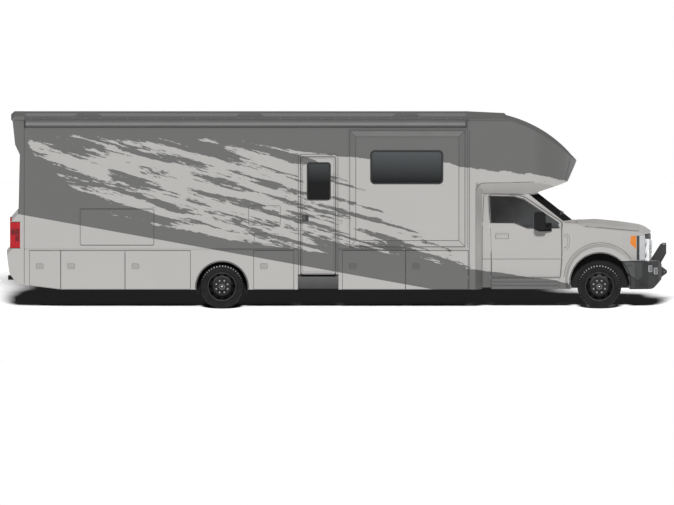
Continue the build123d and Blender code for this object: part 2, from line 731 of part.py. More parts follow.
# ---------------------------------------------------------------- slide-out rooms
slide_glass_radius = 59
slide_glass_top_z = slide_glass_z + slide_glass_height
slide_back_y = house_half_width + 6
slide_front_y = slide_back_y + slide_face_thickness
for side_name, x_rear, length, window_starts, window_length in slides:
    side = side_sign[side_name]
    box_rear_x, box_front_x, box_bottom_z, box_top_z = slide_hole(x_rear, length, slide_clearance)
    face_y = side * slide_front_y
    with BuildPart() as slide_out:
        # face board with a raised border
        block(x_rear, x_rear + length, span(side, slide_back_y, slide_front_y), slide_bottom_z, slide_top_z)
        centre = ((2 * x_rear + length) / 2, (slide_bottom_z + slide_top_z) / 2)
        for inset, proud in ((0, 0), (slide_border, slide_face_bevel)):
            with BuildSketch(Plane(origin=(centre[0], face_y + side * proud, centre[1]),
                                   x_dir=(1, 0, 0), z_dir=(0, side, 0))):
                Rectangle(length - 2 * inset, slide_height - 2 * inset)
        loft()
        block(box_rear_x, box_front_x, span(side, slide_back_y - slide_depth, slide_back_y),
              box_bottom_z, box_top_z)
        block(box_rear_x + slide_wall, box_front_x - slide_wall,
              span(side, slide_back_y - slide_depth, slide_back_y - slide_wall),
              box_bottom_z + slide_wall, box_top_z - slide_wall, Mode.SUBTRACT)
        for window_x in window_starts:
            rounded_panel(window_x, window_x + window_length, slide_glass_z, slide_glass_top_z,
                          slide_glass_radius,
                          span(side, slide_back_y - slide_wall, slide_front_y + slide_face_bevel),
                          Mode.SUBTRACT)
    write(slide_out.part, "slide_out_" + side_name)

    pane_y = slide_front_y + slide_face_bevel - glass_inset
    with BuildPart() as slide_out_glass:
        for window_x in window_starts:
            rounded_panel(window_x, window_x + window_length, slide_glass_z, slide_glass_top_z,
                          slide_glass_radius, span(side, pane_y - glass_thickness, pane_y))
    write(slide_out_glass.part, "slide_out_glass_" + side_name)

# ---------------------------------------------------------------- roof, awning
roof_edge_round = 34
vent_reach = 200
vent_height = 28
vent_stations = (-4300, -1500, 1200)
with BuildPart() as roof:
    rail_inner_y = house_half_width - roof_rail_width
    cross_slab([
        (-house_half_width, wall_top_z), (house_half_width, wall_top_z),
        (house_half_width, roof_top_z - roof_edge_round), (house_half_width - roof_edge_round, roof_top_z),
        (rail_inner_y, roof_top_z), (rail_inner_y - 20, roof_skin_z),
        (-rail_inner_y + 20, roof_skin_z), (-rail_inner_y, roof_top_z),
        (-house_half_width + roof_edge_round, roof_top_z), (-house_half_width, roof_top_z - roof_edge_round),
    ], rear_wall_x, front_wall_x)
    for x in vent_stations:
        block(x - vent_reach, x + vent_reach, (-vent_reach, vent_reach),
              roof_skin_z, roof_skin_z + vent_height)
write(roof.part, "roof")

awning_rear_x = -5405
awning_front_x = 2240
awning_height = 112
awning_proud = 88
awning_low_z = wall_top_z - awning_height
with BuildPart() as awning_case:
    cross_slab([
        (-house_half_width, awning_low_z), (-house_half_width - awning_proud + 40, awning_low_z),
        (-house_half_width - awning_proud, awning_low_z + 30),
        (-house_half_width - awning_proud, awning_low_z + awning_height - 34),
        (-house_half_width - awning_proud + 34, awning_low_z + awning_height),
        (-house_half_width, awning_low_z + awning_height),
    ], awning_rear_x, awning_front_x)
write(awning_case.part, "awning_case")

# ---------------------------------------------------------------- rear cap
cap_skin = 50
tail_lamp_rear_x = -5653
tail_lamp_bottom_z = 1052
tail_lamp_top_z = 1505
tail_lamp_width = 180
tail_lamp_length = 171
tail_lamp_front_x = tail_lamp_rear_x + tail_lamp_length
hitch_hole_half = hitch_outer / 2 + moving_gap
tail_outline = [
    # from the roof down the tail to the skirt
    (rear_wall_x - 168, roof_top_z), (rear_wall_x - 227, roof_top_z - 55),
    (rear_wall_x - 201, roof_top_z - 91), (rear_wall_x - 158, roof_top_z - 491),
    (rear_wall_x - 75, roof_top_z - 667), (rear_wall_x - 99, 1652),
    (rear_wall_x - 215, 1522), (rear_wall_x - 220, 1026), (rear_wall_x - 298, 938), (rear_wall_x - 265, 675),
    (rear_wall_x - 248, 605), (rear_wall_x - 132, 441), (rear_wall_x, 419),
]
with BuildPart() as rear_cap:
    side_slab(tail_outline + [(rear_wall_x, roof_top_z)], (-house_half_width, house_half_width))
    with BuildSketch(Plane.XZ.offset(-wall_inner_y)):
        with BuildLine():
            Polyline(*tail_outline, (rear_wall_x + 3 * cap_skin, 419),
                     (rear_wall_x + 3 * cap_skin, roof_top_z), close=True)
        make_face()
        offset(amount=-cap_skin, kind=Kind.INTERSECTION, mode=Mode.REPLACE)
    extrude(amount=2 * wall_inner_y, mode=Mode.SUBTRACT)
    for side in (-1, 1):
        block(tail_lamp_rear_x - tail_lamp_length, tail_lamp_front_x,
              span(side, house_half_width - tail_lamp_width, house_half_width),
              tail_lamp_bottom_z, tail_lamp_top_z, Mode.SUBTRACT)
    block(hitch_end_x, rear_wall_x, (-hitch_hole_half, hitch_hole_half),
          hitch_z - hitch_hole_half, hitch_z + hitch_hole_half, Mode.SUBTRACT)
write(rear_cap.part, "rear_cap")

with BuildPart() as tail_lamps:
    for side in (-1, 1):
        block(tail_lamp_rear_x, tail_lamp_front_x,
              span(side, house_half_width - tail_lamp_width, house_half_width),
              tail_lamp_bottom_z, tail_lamp_top_z)
write(tail_lamps.part, "tail_lamps")

# ---------------------------------------------------------------- front cap over the cab
cap_nose_x = 4143
cap_side_bottom_z = 2190
cap_top_half = 905
cap_edge_round = 80
fairing_x = 2398
fairing_front_x = 2507
fairing_inner_y = 1022


cap_nose_points = (
    # distance back from the nose, share of the side's height above its lower edge
    (1249, 0.973), (1219, 0.943), (593, 0.716), (98, 0.369), (0, 0.293), (43, 0.210), (155, 0.002),
)


def cap_form(inset):
    """The overcab form, drawn in by an inset: its side, cross and plan outlines meet."""
    half = house_half_width - inset
    top = roof_top_z - inset
    low = cap_side_bottom_z + inset
    nose_x = cap_nose_x - inset
    rear_x = front_wall_x - inset
    crown, brow_rear, brow, brow_front, lip, chin, jaw = [
        (nose_x - back, low + share * (top - low)) for back, share in cap_nose_points
    ]
    with BuildSketch(Plane.XZ.offset(-half)) as outline:
        with BuildLine():
            Polyline((rear_x, cab_top_z + inset), (rear_x, top), crown, brow_rear)
            ThreePointArc(brow_rear, brow, brow_front)
            Polyline(brow_front, lip, chin, jaw, (nose_x - 743, cab_top_z + inset),
                     (rear_x, cab_top_z + inset))
        make_face()
    extrude(outline.sketch, amount=2 * half)
    edge_low = cap_side_bottom_z + inset / 2
    round_mid = 0.293 * cap_edge_round
    with BuildSketch(Plane.YZ.offset(rear_x)) as section:
        with BuildLine():
            Polyline((half - cap_edge_round, top), (-half + cap_edge_round, top))
            ThreePointArc((-half + cap_edge_round, top), (-half + round_mid, top - round_mid),
                          (-half, top - cap_edge_round))
            Polyline((-half, top - cap_edge_round), (-half, edge_low), (-cap_top_half, cab_top_z + inset),
                     (cap_top_half, cab_top_z + inset), (half, edge_low), (half, top - cap_edge_round))
            ThreePointArc((half, top - cap_edge_round), (half - round_mid, top - round_mid),
                          (half - cap_edge_round, top))
        make_face()
    extrude(section.sketch, amount=nose_x - rear_x, mode=Mode.INTERSECT)
    flank, corner, bow = [
        (nose_x - 793, half), (nose_x - 383, half - 130), (nose_x - 143, half - 470),
    ]
    with BuildSketch(Plane.XY.offset(cab_top_z)) as plan:
        with BuildLine():
            Polyline((flank[0], -half), (rear_x, -half), (rear_x, half), flank)
            ThreePointArc(flank, corner, bow)
            ThreePointArc(bow, (nose_x, 0), (bow[0], -bow[1]))
            ThreePointArc((bow[0], -bow[1]), (corner[0], -corner[1]), (flank[0], -half))
        make_face()
    extrude(plan.sketch, amount=roof_top_z - cab_top_z, mode=Mode.INTERSECT)


with BuildPart() as cap_void:
    cap_form(cap_skin)

with BuildPart() as front_cap:
    cap_form(0)
    add(cap_void.part, mode=Mode.SUBTRACT)
    block(front_wall_x, front_wall_x + 100, (-600, 600), cab_top_z, cab_top_z + cap_skin, Mode.SUBTRACT)
    for side in (-1, 1):
        plan_slab([
            (front_wall_x, side * house_half_width), (fairing_x, side * house_half_width),
            (fairing_front_x, side * (fairing_inner_y + 28)), (fairing_front_x, side * fairing_inner_y),
            (cab_rear_x, side * fairing_inner_y), (front_wall_x, side * wall_inner_y),
        ], skirt_bottom_z, cap_side_bottom_z)
write(front_cap.part, "front_cap")

# ---------------------------------------------------------------- front wings
wing_y = 1012
wing_skin = 60
wing_inner_y = wing_y - wing_skin
wing_top_z = 1482
arch_x = front_axle_x + 14
arch_z = tyre_radius + 61
front_arch_radius = 520
flare_x = front_axle_x + 22
flare_z = tyre_radius + 120
flare_radius = 625
flare_y = 1100
flare_slope = 60
bumper_top_z = 817
support_front_x = radiator_front_x + 55
lamp_inner_y = 645
wing_plan = (
    # X, half width
    (3840, wing_y), (4950, wing_y), (5180, 965), (5330, 880),
)
lamp_edge = [
    # the lamp's rear edge, from the top down
    (5078, 1262), (5065, 1107), (5138, 1050), (5178, 1010), (5178, bumper_top_z + 7),
]
shut_line = [
    # the hood's lower edge, from the screen forward
    (3905, wing_top_z), (4145, 1462), (4296, 1402), (5007, 1338), (5225, 1319), (5322, 1272),
]


vent_proud = 5
vent_sheet = 20
vent_outline = [(3908, 1269), (3990, 1277), (4022, 1246), (4027, 1110), (3985, 1022), (3908, 1007)]
vent_slot = [(3925, 1240), (3978, 1243), (3990, 1228), (3992, 1116), (3966, 1056), (3925, 1046)]


def wing_strip(side, outer_inset, inner_inset):
    """A plan strip that follows the front wing between two insets."""
    outer = [(x, side * (half - outer_inset)) for x, half in wing_plan]
    inner = [(x, side * (half - inner_inset)) for x, half in reversed(wing_plan)]
    return outer + inner


with BuildPart() as front_wings:
    side_slab([(3873, 530), (3899, 848), (3896, 1367)] + shut_line + [(5322, 1262)] + lamp_edge
              + [(4500, bumper_top_z + 7), (4200, skirt_bottom_z), (3850, skirt_bottom_z), (3850, 530)],
              (-flare_y, flare_y))
    with BuildSketch(Plane.XY.offset(skirt_bottom_z)):
        for side in (-1, 1):
            with BuildLine():
                Polyline(*wing_strip(side, 0, wing_skin), close=True)
            make_face()
    extrude(amount=roof_top_z, mode=Mode.INTERSECT)
    for side in (-1, 1):
        flare_rings = ((wing_y - 20, flare_radius), (flare_y, flare_radius - flare_slope))
        for y, radius in flare_rings:
            with BuildSketch(Plane(origin=(flare_x, side * y, flare_z), x_dir=(1, 0, 0),
                                   z_dir=(0, side, 0))):
                Circle(radius)
        loft()
    below = flare_z - flare_radius
    block(flare_x - flare_radius, arch_x, (-flare_y, flare_y), below, skirt_bottom_z, Mode.SUBTRACT)
    block(arch_x, flare_x + flare_radius, (-flare_y, flare_y), below, bumper_top_z + 7, Mode.SUBTRACT)
    bar_along_y(arch_x, arch_z, front_arch_radius, (-flare_y, flare_y), Mode.SUBTRACT)
    # a raised C-shaped vent behind each arch
    for side in (-1, 1):
        side_slab(vent_outline, span(side, wing_y - vent_sheet, wing_y + vent_proud))
        side_slab(vent_slot, span(side, wing_y, wing_y + vent_proud), Mode.SUBTRACT)
write(front_wings.part, "front_wings")

# ---------------------------------------------------------------- hood
hood_rear_x = 4152
hood_sheet = 26
hood_stations = (
    # X, crown Z, shoulder Z, edge Z, lower edge Z, half width
    (hood_rear_x, 1490, 1480, 1462, 1425, 944),
    (4481, 1505, 1463, 1400, 1355, 944),
    (4827, 1472, 1430, 1366, 1325, 942),
    (5007, 1448, 1408, 1346, 1305, 928),
    (5225, 1415, 1380, 1326, 1288, 868),
    (5322, 1378, 1350, 1306, 1276, 800),
    (5424, 1312, 1306, 1300, 1286, 560),
)
with BuildPart() as hood:
    for x, crown_z, shoulder_z, edge_z, low_z, half in hood_stations:
        outer_half = [(half, low_z), (half, edge_z), (0.88 * half, shoulder_z), (0.42 * half, crown_z - 12),
                      (0.36 * half, crown_z)]
        inner_half = [(0.36 * half, max(crown_z - hood_sheet, low_z + 4)),
                      (0.86 * half, max(shoulder_z - hood_sheet, low_z + 2)), (half - hood_sheet, low_z)]
        with BuildSketch(Plane.YZ.offset(x)):
            with BuildLine():
                Polyline(*outer_half, *[(-y, z) for y, z in reversed(outer_half)],
                         *[(-y, z) for y, z in reversed(inner_half)], *inner_half, close=True)
            make_face()
    loft(ruled=True)
write(hood.part, "hood")

# ---------------------------------------------------------------- grille and lamps
grille_bar = 24
grille_bars = 6
grille_low_z = bumper_top_z + 7
grille_top_z = 1280
grille_profile = [
    (support_front_x, grille_low_z), (5415, grille_low_z), (5450, 896), (5501, 950), (5501, 1180),
    (5430, 1190), (5430, 1270), (5325, grille_top_z), (support_front_x, grille_top_z - 14),
]
grille_plan = [
    (support_front_x, -lamp_inner_y), (5400, -lamp_inner_y), (5480, -500), (5501, -250),
    (5501, 250), (5480, 500), (5400, lamp_inner_y), (support_front_x, lamp_inner_y),
]
grille_window = lamp_inner_y - 55
grille_window_low_z = 880
grille_window_top_z = 1215
with BuildPart() as grille:
    side_slab(grille_profile, (-lamp_inner_y, lamp_inner_y))
    plan_slab(grille_plan, grille_low_z, grille_top_z, Mode.INTERSECT)
    block(support_front_x, 5600, (-grille_window, grille_window), grille_window_low_z, grille_window_top_z,
          Mode.SUBTRACT)
    bar_pitch = (grille_window_top_z - grille_window_low_z) / grille_bars
    for number in range(1, grille_bars):
        bar_z = grille_window_low_z + number * bar_pitch
        block(support_front_x + 60, 5450, (-grille_window, grille_window), bar_z - grille_bar / 2,
              bar_z + grille_bar / 2)
    for y in (-grille_window / 3, grille_window / 3):
        block(support_front_x + 60, 5430, (y - 12, y + 12), grille_window_low_z, grille_window_top_z)
write(grille.part, "grille")

radiator_rear_x = radiator_front_x - radiator_thickness
with BuildPart() as radiator:
    block(radiator_rear_x, radiator_front_x, (-radiator_half_width, radiator_half_width),
          rail_top_z, radiator_top_z)
    block(rail_front_x - outrigger_width, radiator_front_x, (-rail_y, rail_y), rail_top_z, rail_top_z + 30)
    # the frame that carries the grille and the lamps
    block(radiator_front_x, support_front_x, (-lamp_inner_y, lamp_inner_y), grille_low_z, 1262)
    block(radiator_front_x, support_front_x, (-radiator_half_width + 20, radiator_half_width - 20),
          rail_top_z + 50, radiator_top_z - 20, Mode.SUBTRACT)
write(radiator.part, "radiator")

bumper_front_x = 5617
bumper_corner = ((bumper_front_x - 237, 1000), (bumper_front_x - 57, 760))
bumper_lamp_width = 96
bumper_lamp_height = 112
bumper_lamps = (
    # share along the corner face, Z
    (0.2, 686), (0.72, 642),
)
with BuildPart() as head_lamps:
    side_slab(lamp_edge + [(5328, bumper_top_z + 7), (5328, 1258)], (-wing_y, wing_y))
    with BuildSketch(Plane.XY.offset(bumper_top_z)):
        for side in (-1, 1):
            with BuildLine():
                Polyline(*[(x, side * half) for x, half in wing_plan[1:]], (5330, side * lamp_inner_y),
                         (5178, side * lamp_inner_y), (4950, side * (wing_y - wing_skin)), close=True)
            make_face()
    extrude(amount=roof_top_z, mode=Mode.INTERSECT)
    run_x = bumper_corner[1][0] - bumper_corner[0][0]
    run_y = bumper_corner[1][1] - bumper_corner[0][1]
    for side in (-1, 1):
        for share, lamp_z in bumper_lamps:
            lamp_place = (bumper_corner[0][0] + share * run_x,
                          side * (bumper_corner[0][1] + share * run_y), lamp_z)
            with BuildSketch(Plane(origin=lamp_place, x_dir=(run_x, side * run_y, 0),
                                   z_dir=(-run_y, side * run_x, 0))):
                RectangleRounded(bumper_lamp_width, bumper_lamp_height, 12)
            extrude(amount=12)
write(head_lamps.part, "head_lamps")

# ---------------------------------------------------------------- front bumper
bumper_plate = 40
bull_bar_y = 430
bull_tube = 34
bull_plate = 24
tab_y = 330
tab_thickness = 25
tab_bore = 16
tab_bore_x = bumper_front_x + 49
tab_bore_z = 600
bumper_half = 1095
bumper_low_z = 334
bumper_rear_x = bumper_front_x - 695
bumper_plan = [
    (bumper_rear_x, bumper_half), (bumper_front_x - 467, bumper_half), bumper_corner[0], bumper_corner[1],
    (bumper_front_x, 560),
]
bumper_side = (
    # distance back from the face, Z
    (695, bumper_top_z), (64, bumper_top_z), (17, 761), (0, 709), (3, 490), (129, 355),
    (174, bumper_low_z), (557, bumper_low_z), (557, 450), (600, 616),
)
bull_bar_side = (
    # distance ahead of the face, Z
    (-181, bumper_top_z), (-27, 1060), (23, 1088), (80, 1085), (80, 934), (0, 790), (-17, 761),
    (-57, 761), (-117, bumper_top_z),
)
tab_side = (
    # distance ahead of the face, Z
    (-17, 675), (8, 675), (92, 610), (92, 590), (8, 528), (-17, 528),
)
with BuildPart() as front_bumper:
    side_slab([(bumper_front_x - back, z) for back, z in bumper_side], (-bumper_half, bumper_half))
    plan_slab(bumper_plan + [(x, -y) for x, y in reversed(bumper_plan)], 0, bumper_top_z, Mode.INTERSECT)
    inner_plan = [(x - bumper_plate / 2, y - bumper_plate) for x, y in bumper_plan]
    open_rear = (bumper_rear_x - 120, inner_plan[0][1])
    inner_right = [open_rear] + inner_plan
    plan_slab(inner_right + [(x, -y) for x, y in reversed(inner_right)],
              bumper_low_z + bumper_plate, bumper_top_z - bumper_plate, Mode.SUBTRACT)
    block(open_rear[0], support_front_x, (-lamp_inner_y, lamp_inner_y), 0, bumper_top_z, Mode.SUBTRACT)
    for side in (-1, 1):
        block(rail_front_x, bumper_front_x - 32, span(side, rail_y - rail_flange, rail_y),
              rail_bottom_z + 20, bumper_top_z - bumper_plate)
        side_slab([(bumper_front_x + ahead, z) for ahead, z in bull_bar_side],
                  span(side, bull_bar_y - bull_plate / 2, bull_bar_y + bull_plate / 2))
        side_slab([(bumper_front_x + ahead, z) for ahead, z in tab_side],
                  span(side, tab_y, tab_y + tab_thickness))
        bar_along_y(tab_bore_x, tab_bore_z, tab_bore, span(side, tab_y, tab_y + tab_thickness),
                    Mode.SUBTRACT)
    bar_along_y(bumper_front_x + 38, 1045, bull_tube, (-bull_bar_y, bull_bar_y))
    bar_along_y(bumper_front_x + 33, 930, bull_tube * 0.7, (-bull_bar_y, bull_bar_y))
write(front_bumper.part, "front_bumper")

# ---------------------------------------------------------------- cab shell
cab_section = (
    # Z, half width
    (363, 990), (700, 1010), (1000, 1015), (1450, 1005), (cab_top_z, 880),
)
cowl_z = 1490
header_x = 3300
cowl_x = 3935
rocker_y = 880
windscreen_half = 850
windscreen_sag = 90
windscreen_thickness = 8
windscreen_start = 0.05
windscreen_end = 0.96
windscreen_overrun = 0.2


def cab_band(inset):
    """The cab's cross outline, drawn in by an inset on each side."""
    right = [(-half + inset, z) for z, half in cab_section]
    left = [(half - inset, z) for z, half in reversed(cab_section)]
    return right + left


def cab_strip(side, outer_inset, inner_inset):
    """A strip that follows one side of the cab between two insets."""
    outer = [(side * (half - outer_inset), z) for z, half in cab_section]
    inner = [(side * (half - inner_inset), z) for z, half in reversed(cab_section)]
    return outer + inner


door_outline = [
    (2668, 530), (2668, 813), (2643, 1470), (2606, 1930), (2646, 1972), (2906, 1972),
    (3160, 1956), (3262, 1920), (3884, 1500), (3889, 1367), (3892, 848), (3866, 530),
]
window_outline = [
    (2640, 1935), (3055, 1930), (3235, 1880), (3830, 1478),
    (3836, 1393), (3294, 1393), (3071, 1484), (2664, 1484),
]


def windscreen_point(share, lift):
    """A point on the slanted screen line, at a share of its length and a lift off it."""
    run = cowl_x - header_x
    rise = cowl_z - cab_top_z
    length = (run * run + rise * rise) ** 0.5
    return header_x + share * run - lift * rise / length, cab_top_z + share * rise + lift * run / length


screen_top_z = windscreen_point(windscreen_start, -windscreen_thickness)[1]
screen_foot_z = windscreen_point(windscreen_end, 0)[1]
screen_rest = 2
screen_plates = (
    # edge X, bottom Z, top Z of the plates the screen's two ends meet
    (windscreen_point(windscreen_start, 0)[0], screen_top_z + screen_rest, cab_top_z - screen_rest),
    (windscreen_point(windscreen_end, 0)[0], cowl_z - 20, screen_foot_z - screen_rest),
)
screen_length = ((cowl_x - header_x) ** 2 + (cowl_z - cab_top_z) ** 2) ** 0.5
screen_bow = windscreen_sag * screen_length / (cab_top_z - cowl_z)

with BuildPart() as cab_void:
    side_slab([
        (cab_rear_x + cab_skin, cab_floor_z), (cab_rear_x + cab_skin, cab_top_z - cab_skin),
        (header_x - cab_skin / 2, cab_top_z - cab_skin), (cowl_x - cab_skin, cowl_z - cab_skin / 2),
        (cab_front_x - cab_skin, cowl_z - cab_skin), (cab_front_x - cab_skin, cab_floor_z),
    ], (-house_half_width, house_half_width))
    cross_slab(cab_band(cab_skin), cab_rear_x, cab_front_x, Mode.INTERSECT)

with BuildPart() as cab_shell:
    side_slab([
        (cab_rear_x, 363), (cab_rear_x, cab_top_z), (header_x, cab_top_z), (cowl_x, cowl_z),
        (cab_front_x, cowl_z - 10), (cab_front_x, 640), (3960, 560), (3960, 363),
    ], (-house_half_width, house_half_width))
    cross_slab(cab_band(0), cab_rear_x, cab_front_x, Mode.INTERSECT)
    add(cab_void.part, mode=Mode.SUBTRACT)
    block(cab_front_x - 10, hood_rear_x - moving_gap, (-wing_inner_y, wing_inner_y),
          cowl_z - 80, cowl_z - 20)
    block(cab_rear_x, cab_rear_x + cab_skin, (-560, 560), floor_top_z, cab_top_z - 120, Mode.SUBTRACT)
    block(cab_rear_x, cab_front_x, (-rocker_y, rocker_y), 363, rail_top_z, Mode.SUBTRACT)
    side_slab([windscreen_point(windscreen_start, -90), windscreen_point(windscreen_start, 90),
               windscreen_point(windscreen_end, 90), windscreen_point(windscreen_end, -90)],
              (-windscreen_half, windscreen_half), Mode.SUBTRACT)
    # header and cowl plates, bowed like the screen
    for edge_x, plate_low_z, plate_top_z in screen_plates:
        with BuildSketch(Plane.XY.offset(plate_low_z)):
            with BuildLine():
                ThreePointArc((edge_x, -windscreen_half), (edge_x + screen_bow, 0),
                              (edge_x, windscreen_half))
                Polyline((edge_x, windscreen_half), (edge_x - cab_skin, windscreen_half),
                         (edge_x - cab_skin, -windscreen_half), (edge_x, -windscreen_half))
            make_face()
        extrude(amount=plate_top_z - plate_low_z)
    for side in (-1, 1):
        y_low, y_high = span(side, rocker_y - 120, house_half_width)
        with BuildSketch(Plane.XZ.offset(-y_high)):
            with BuildLine():
                Polyline(*door_outline, close=True)
            make_face()
            offset(amount=door_gap, kind=Kind.INTERSECTION, mode=Mode.REPLACE)
        extrude(amount=y_high - y_low, mode=Mode.SUBTRACT)
        block(cab_front_x - 195, hood_rear_x, span(side, wing_inner_y, flare_y), 0, wing_top_z,
              Mode.SUBTRACT)
write(cab_shell.part, "cab_shell")

# The screen is bowed across the cab: an arc section swept down the slant, trimmed level at both ends.
screen_top = windscreen_point(windscreen_start - windscreen_overrun, 0)
screen_bottom = windscreen_point(windscreen_end + windscreen_overrun, 0)
screen_slant = Vector(screen_bottom[0] - screen_top[0], 0, screen_bottom[1] - screen_top[1])
trim_limits = (header_x - windscreen_half, hood_rear_x + windscreen_half)
with BuildPart() as windscreen:
    with BuildSketch(Plane(origin=(screen_top[0], 0, screen_top[1]), x_dir=(0, 1, 0), z_dir=screen_slant)):
        with BuildLine():
            ThreePointArc((-windscreen_half, 0), (0, windscreen_sag), (windscreen_half, 0))
            Line((windscreen_half, 0), (windscreen_half, -windscreen_thickness))
            ThreePointArc((windscreen_half, -windscreen_thickness),
                          (0, windscreen_sag - windscreen_thickness),
                          (-windscreen_half, -windscreen_thickness))
            Line((-windscreen_half, -windscreen_thickness), (-windscreen_half, 0))
        make_face()
    extrude(amount=screen_slant.length)
    block(*trim_limits, (-windscreen_half, windscreen_half), screen_top_z, roof_top_z, Mode.SUBTRACT)
    block(*trim_limits, (-windscreen_half, windscreen_half), 0, screen_foot_z, Mode.SUBTRACT)
write(windscreen.part, "windscreen")

# Running boards under the doors, with two ribs.
board_rear_x = 2668
board_front_x = 3841
board_z = 519
board_y = 1040
rib_depth = 8
with BuildPart() as running_boards:
    for side in (-1, 1):
        block(board_rear_x, board_front_x, span(side, board_y - 80, board_y), skirt_bottom_z, board_z)
        for rib_z in (398, 460):
            block(board_rear_x, board_front_x, span(side, board_y - rib_depth, board_y),
                  rib_z - 5, rib_z + 5, Mode.SUBTRACT)
    cross_slab(cab_band(0), board_rear_x, board_front_x, Mode.SUBTRACT)
write(running_boards.part, "running_boards")

# ---------------------------------------------------------------- cab doors and mirrors
mirror_head_inner_y = 1150
mirror_head_outer_y = 1390
for side_name, side in side_sign.items():
    reach = span(side, 700, 1100)
    with BuildPart() as cab_door:
        side_slab(door_outline, reach)
        cross_slab(cab_strip(side, 0, door_thickness), cab_rear_x, cab_front_x, Mode.INTERSECT)
        side_slab(window_outline, reach, Mode.SUBTRACT)
        rounded_panel(2739, 2970, 1206, 1292, 12, span(side, 1000, 1030))
    write(cab_door.part, "cab_door_" + side_name)

    with BuildPart() as cab_door_glass:
        side_slab(window_outline, reach)
        cross_slab(cab_strip(side, glass_inset, glass_inset + glass_thickness), cab_rear_x, cab_front_x,
                   Mode.INTERSECT)
    write(cab_door_glass.part, "cab_door_glass_" + side_name)

    with BuildPart() as door_mirror:
        with BuildSketch(Plane.XZ.offset(-span(side, mirror_head_inner_y, mirror_head_outer_y)[1])):
            with Locations((3507, 1520)):
                RectangleRounded(204, 320, 60)
        extrude(amount=mirror_head_outer_y - mirror_head_inner_y)
        for arm_low, arm_high in ((1337, 1385), (1440, 1480)):
            plan_slab([(3714, side * 960), (3640, side * 960), (3480, side * (mirror_head_inner_y + 10)),
                       (3580, side * (mirror_head_inner_y + 10)), (3714, side * 1060)], arm_low, arm_high)
        block(3640, 3714, span(side, 960, 1060), 1337, 1480)
        cross_slab(cab_band(0), cab_rear_x, cab_front_x, Mode.SUBTRACT)
    write(door_mirror.part, "door_mirror_" + side_name)

# ---------------------------------------------------------------- inside the cab
wheel_radius = 200
wheel_rim = 15
driver_y = 450
wheel_centre = (3500, driver_y, 1330)
wheel_plane = Plane(origin=wheel_centre, x_dir=(0, 1, 0), z_dir=(-0.875, 0, 0.485))
with BuildPart() as steering_wheel:
    with BuildSketch(Plane(origin=wheel_centre, x_dir=(0, 1, 0), z_dir=(0.485, 0, 0.875))):
        with Locations((wheel_radius, 0)):
            RegularPolygon(wheel_rim, 6)
    revolve(axis=Axis(wheel_centre, (-0.875, 0, 0.485)))
    with BuildSketch(wheel_plane.offset(-10)):
        Circle(58)
        Rectangle(2 * wheel_radius, 34)
    extrude(amount=20)
write(steering_wheel.part, "steering_wheel")

with BuildPart() as dashboard:
    side_slab([(3560, 1180), (3600, 1340), (3700, 1400), (cab_front_x - cab_skin, 1432),
               (cab_front_x - cab_skin, 1060), (3760, 1060)], (-880, 880))
    block(3480, 3990, (-170, 170), cab_floor_z, 1200)
    with BuildSketch(wheel_plane.offset(-10 - moving_gap)):
        Circle(36)
    extrude(amount=-150)
write(dashboard.part, "dashboard")

seat_half = 260
headrest_half = 130
seat_side = (
    # distance ahead of the cab's rear, height above its floor
    (380, 0), (830, 0), (910, 240), (880, 300), (480, 270), (370, 800), (280, 820), (240, 780), (340, 200),
)
headrest_side = (
    # distance ahead of the cab's rear, height above its floor
    (280, 820), (370, 800), (350, 960), (270, 970),
)
with BuildPart() as cab_seats:
    for side in (-1, 1):
        for outline, half in ((seat_side, seat_half), (headrest_side, headrest_half)):
            side_slab([(cab_rear_x + ahead, cab_floor_z + height) for ahead, height in outline],
                      span(side, driver_y - half, driver_y + half))
write(cab_seats.part, "cab_seats")
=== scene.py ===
import bpy
import bmesh
import json
import math
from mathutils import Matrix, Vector
from mathutils.bvhtree import BVHTree

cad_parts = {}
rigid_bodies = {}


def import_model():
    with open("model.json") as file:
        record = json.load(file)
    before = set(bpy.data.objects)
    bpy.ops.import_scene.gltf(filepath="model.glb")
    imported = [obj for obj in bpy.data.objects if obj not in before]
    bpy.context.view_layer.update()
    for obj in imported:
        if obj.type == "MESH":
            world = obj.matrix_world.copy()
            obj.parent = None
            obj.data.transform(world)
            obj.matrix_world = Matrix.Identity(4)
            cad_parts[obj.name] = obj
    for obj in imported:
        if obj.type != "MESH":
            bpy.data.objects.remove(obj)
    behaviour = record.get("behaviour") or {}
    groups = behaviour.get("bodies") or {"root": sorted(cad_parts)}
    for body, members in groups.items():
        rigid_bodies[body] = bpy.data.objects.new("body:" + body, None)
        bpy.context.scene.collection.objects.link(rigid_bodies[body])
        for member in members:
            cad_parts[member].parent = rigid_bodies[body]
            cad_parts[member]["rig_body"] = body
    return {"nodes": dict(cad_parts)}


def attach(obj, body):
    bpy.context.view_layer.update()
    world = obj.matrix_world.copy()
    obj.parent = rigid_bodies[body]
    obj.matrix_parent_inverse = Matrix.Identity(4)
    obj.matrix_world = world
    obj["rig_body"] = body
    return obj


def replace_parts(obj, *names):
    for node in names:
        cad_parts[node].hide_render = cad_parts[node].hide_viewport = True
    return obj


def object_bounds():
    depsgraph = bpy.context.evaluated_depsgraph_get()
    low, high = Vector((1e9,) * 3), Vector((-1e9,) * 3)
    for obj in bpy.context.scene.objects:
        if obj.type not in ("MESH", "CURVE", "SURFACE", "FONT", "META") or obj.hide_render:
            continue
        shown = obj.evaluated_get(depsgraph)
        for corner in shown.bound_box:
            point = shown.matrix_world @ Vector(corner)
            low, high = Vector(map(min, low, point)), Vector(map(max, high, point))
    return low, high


# Looks of the motorhome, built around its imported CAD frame. Metres, row frame: X forward,
# Y left, Z up. An outline is a list of X, Z points. SIDES gives the sign of Y for each side.

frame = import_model()
cad_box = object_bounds()
scene = bpy.context.scene

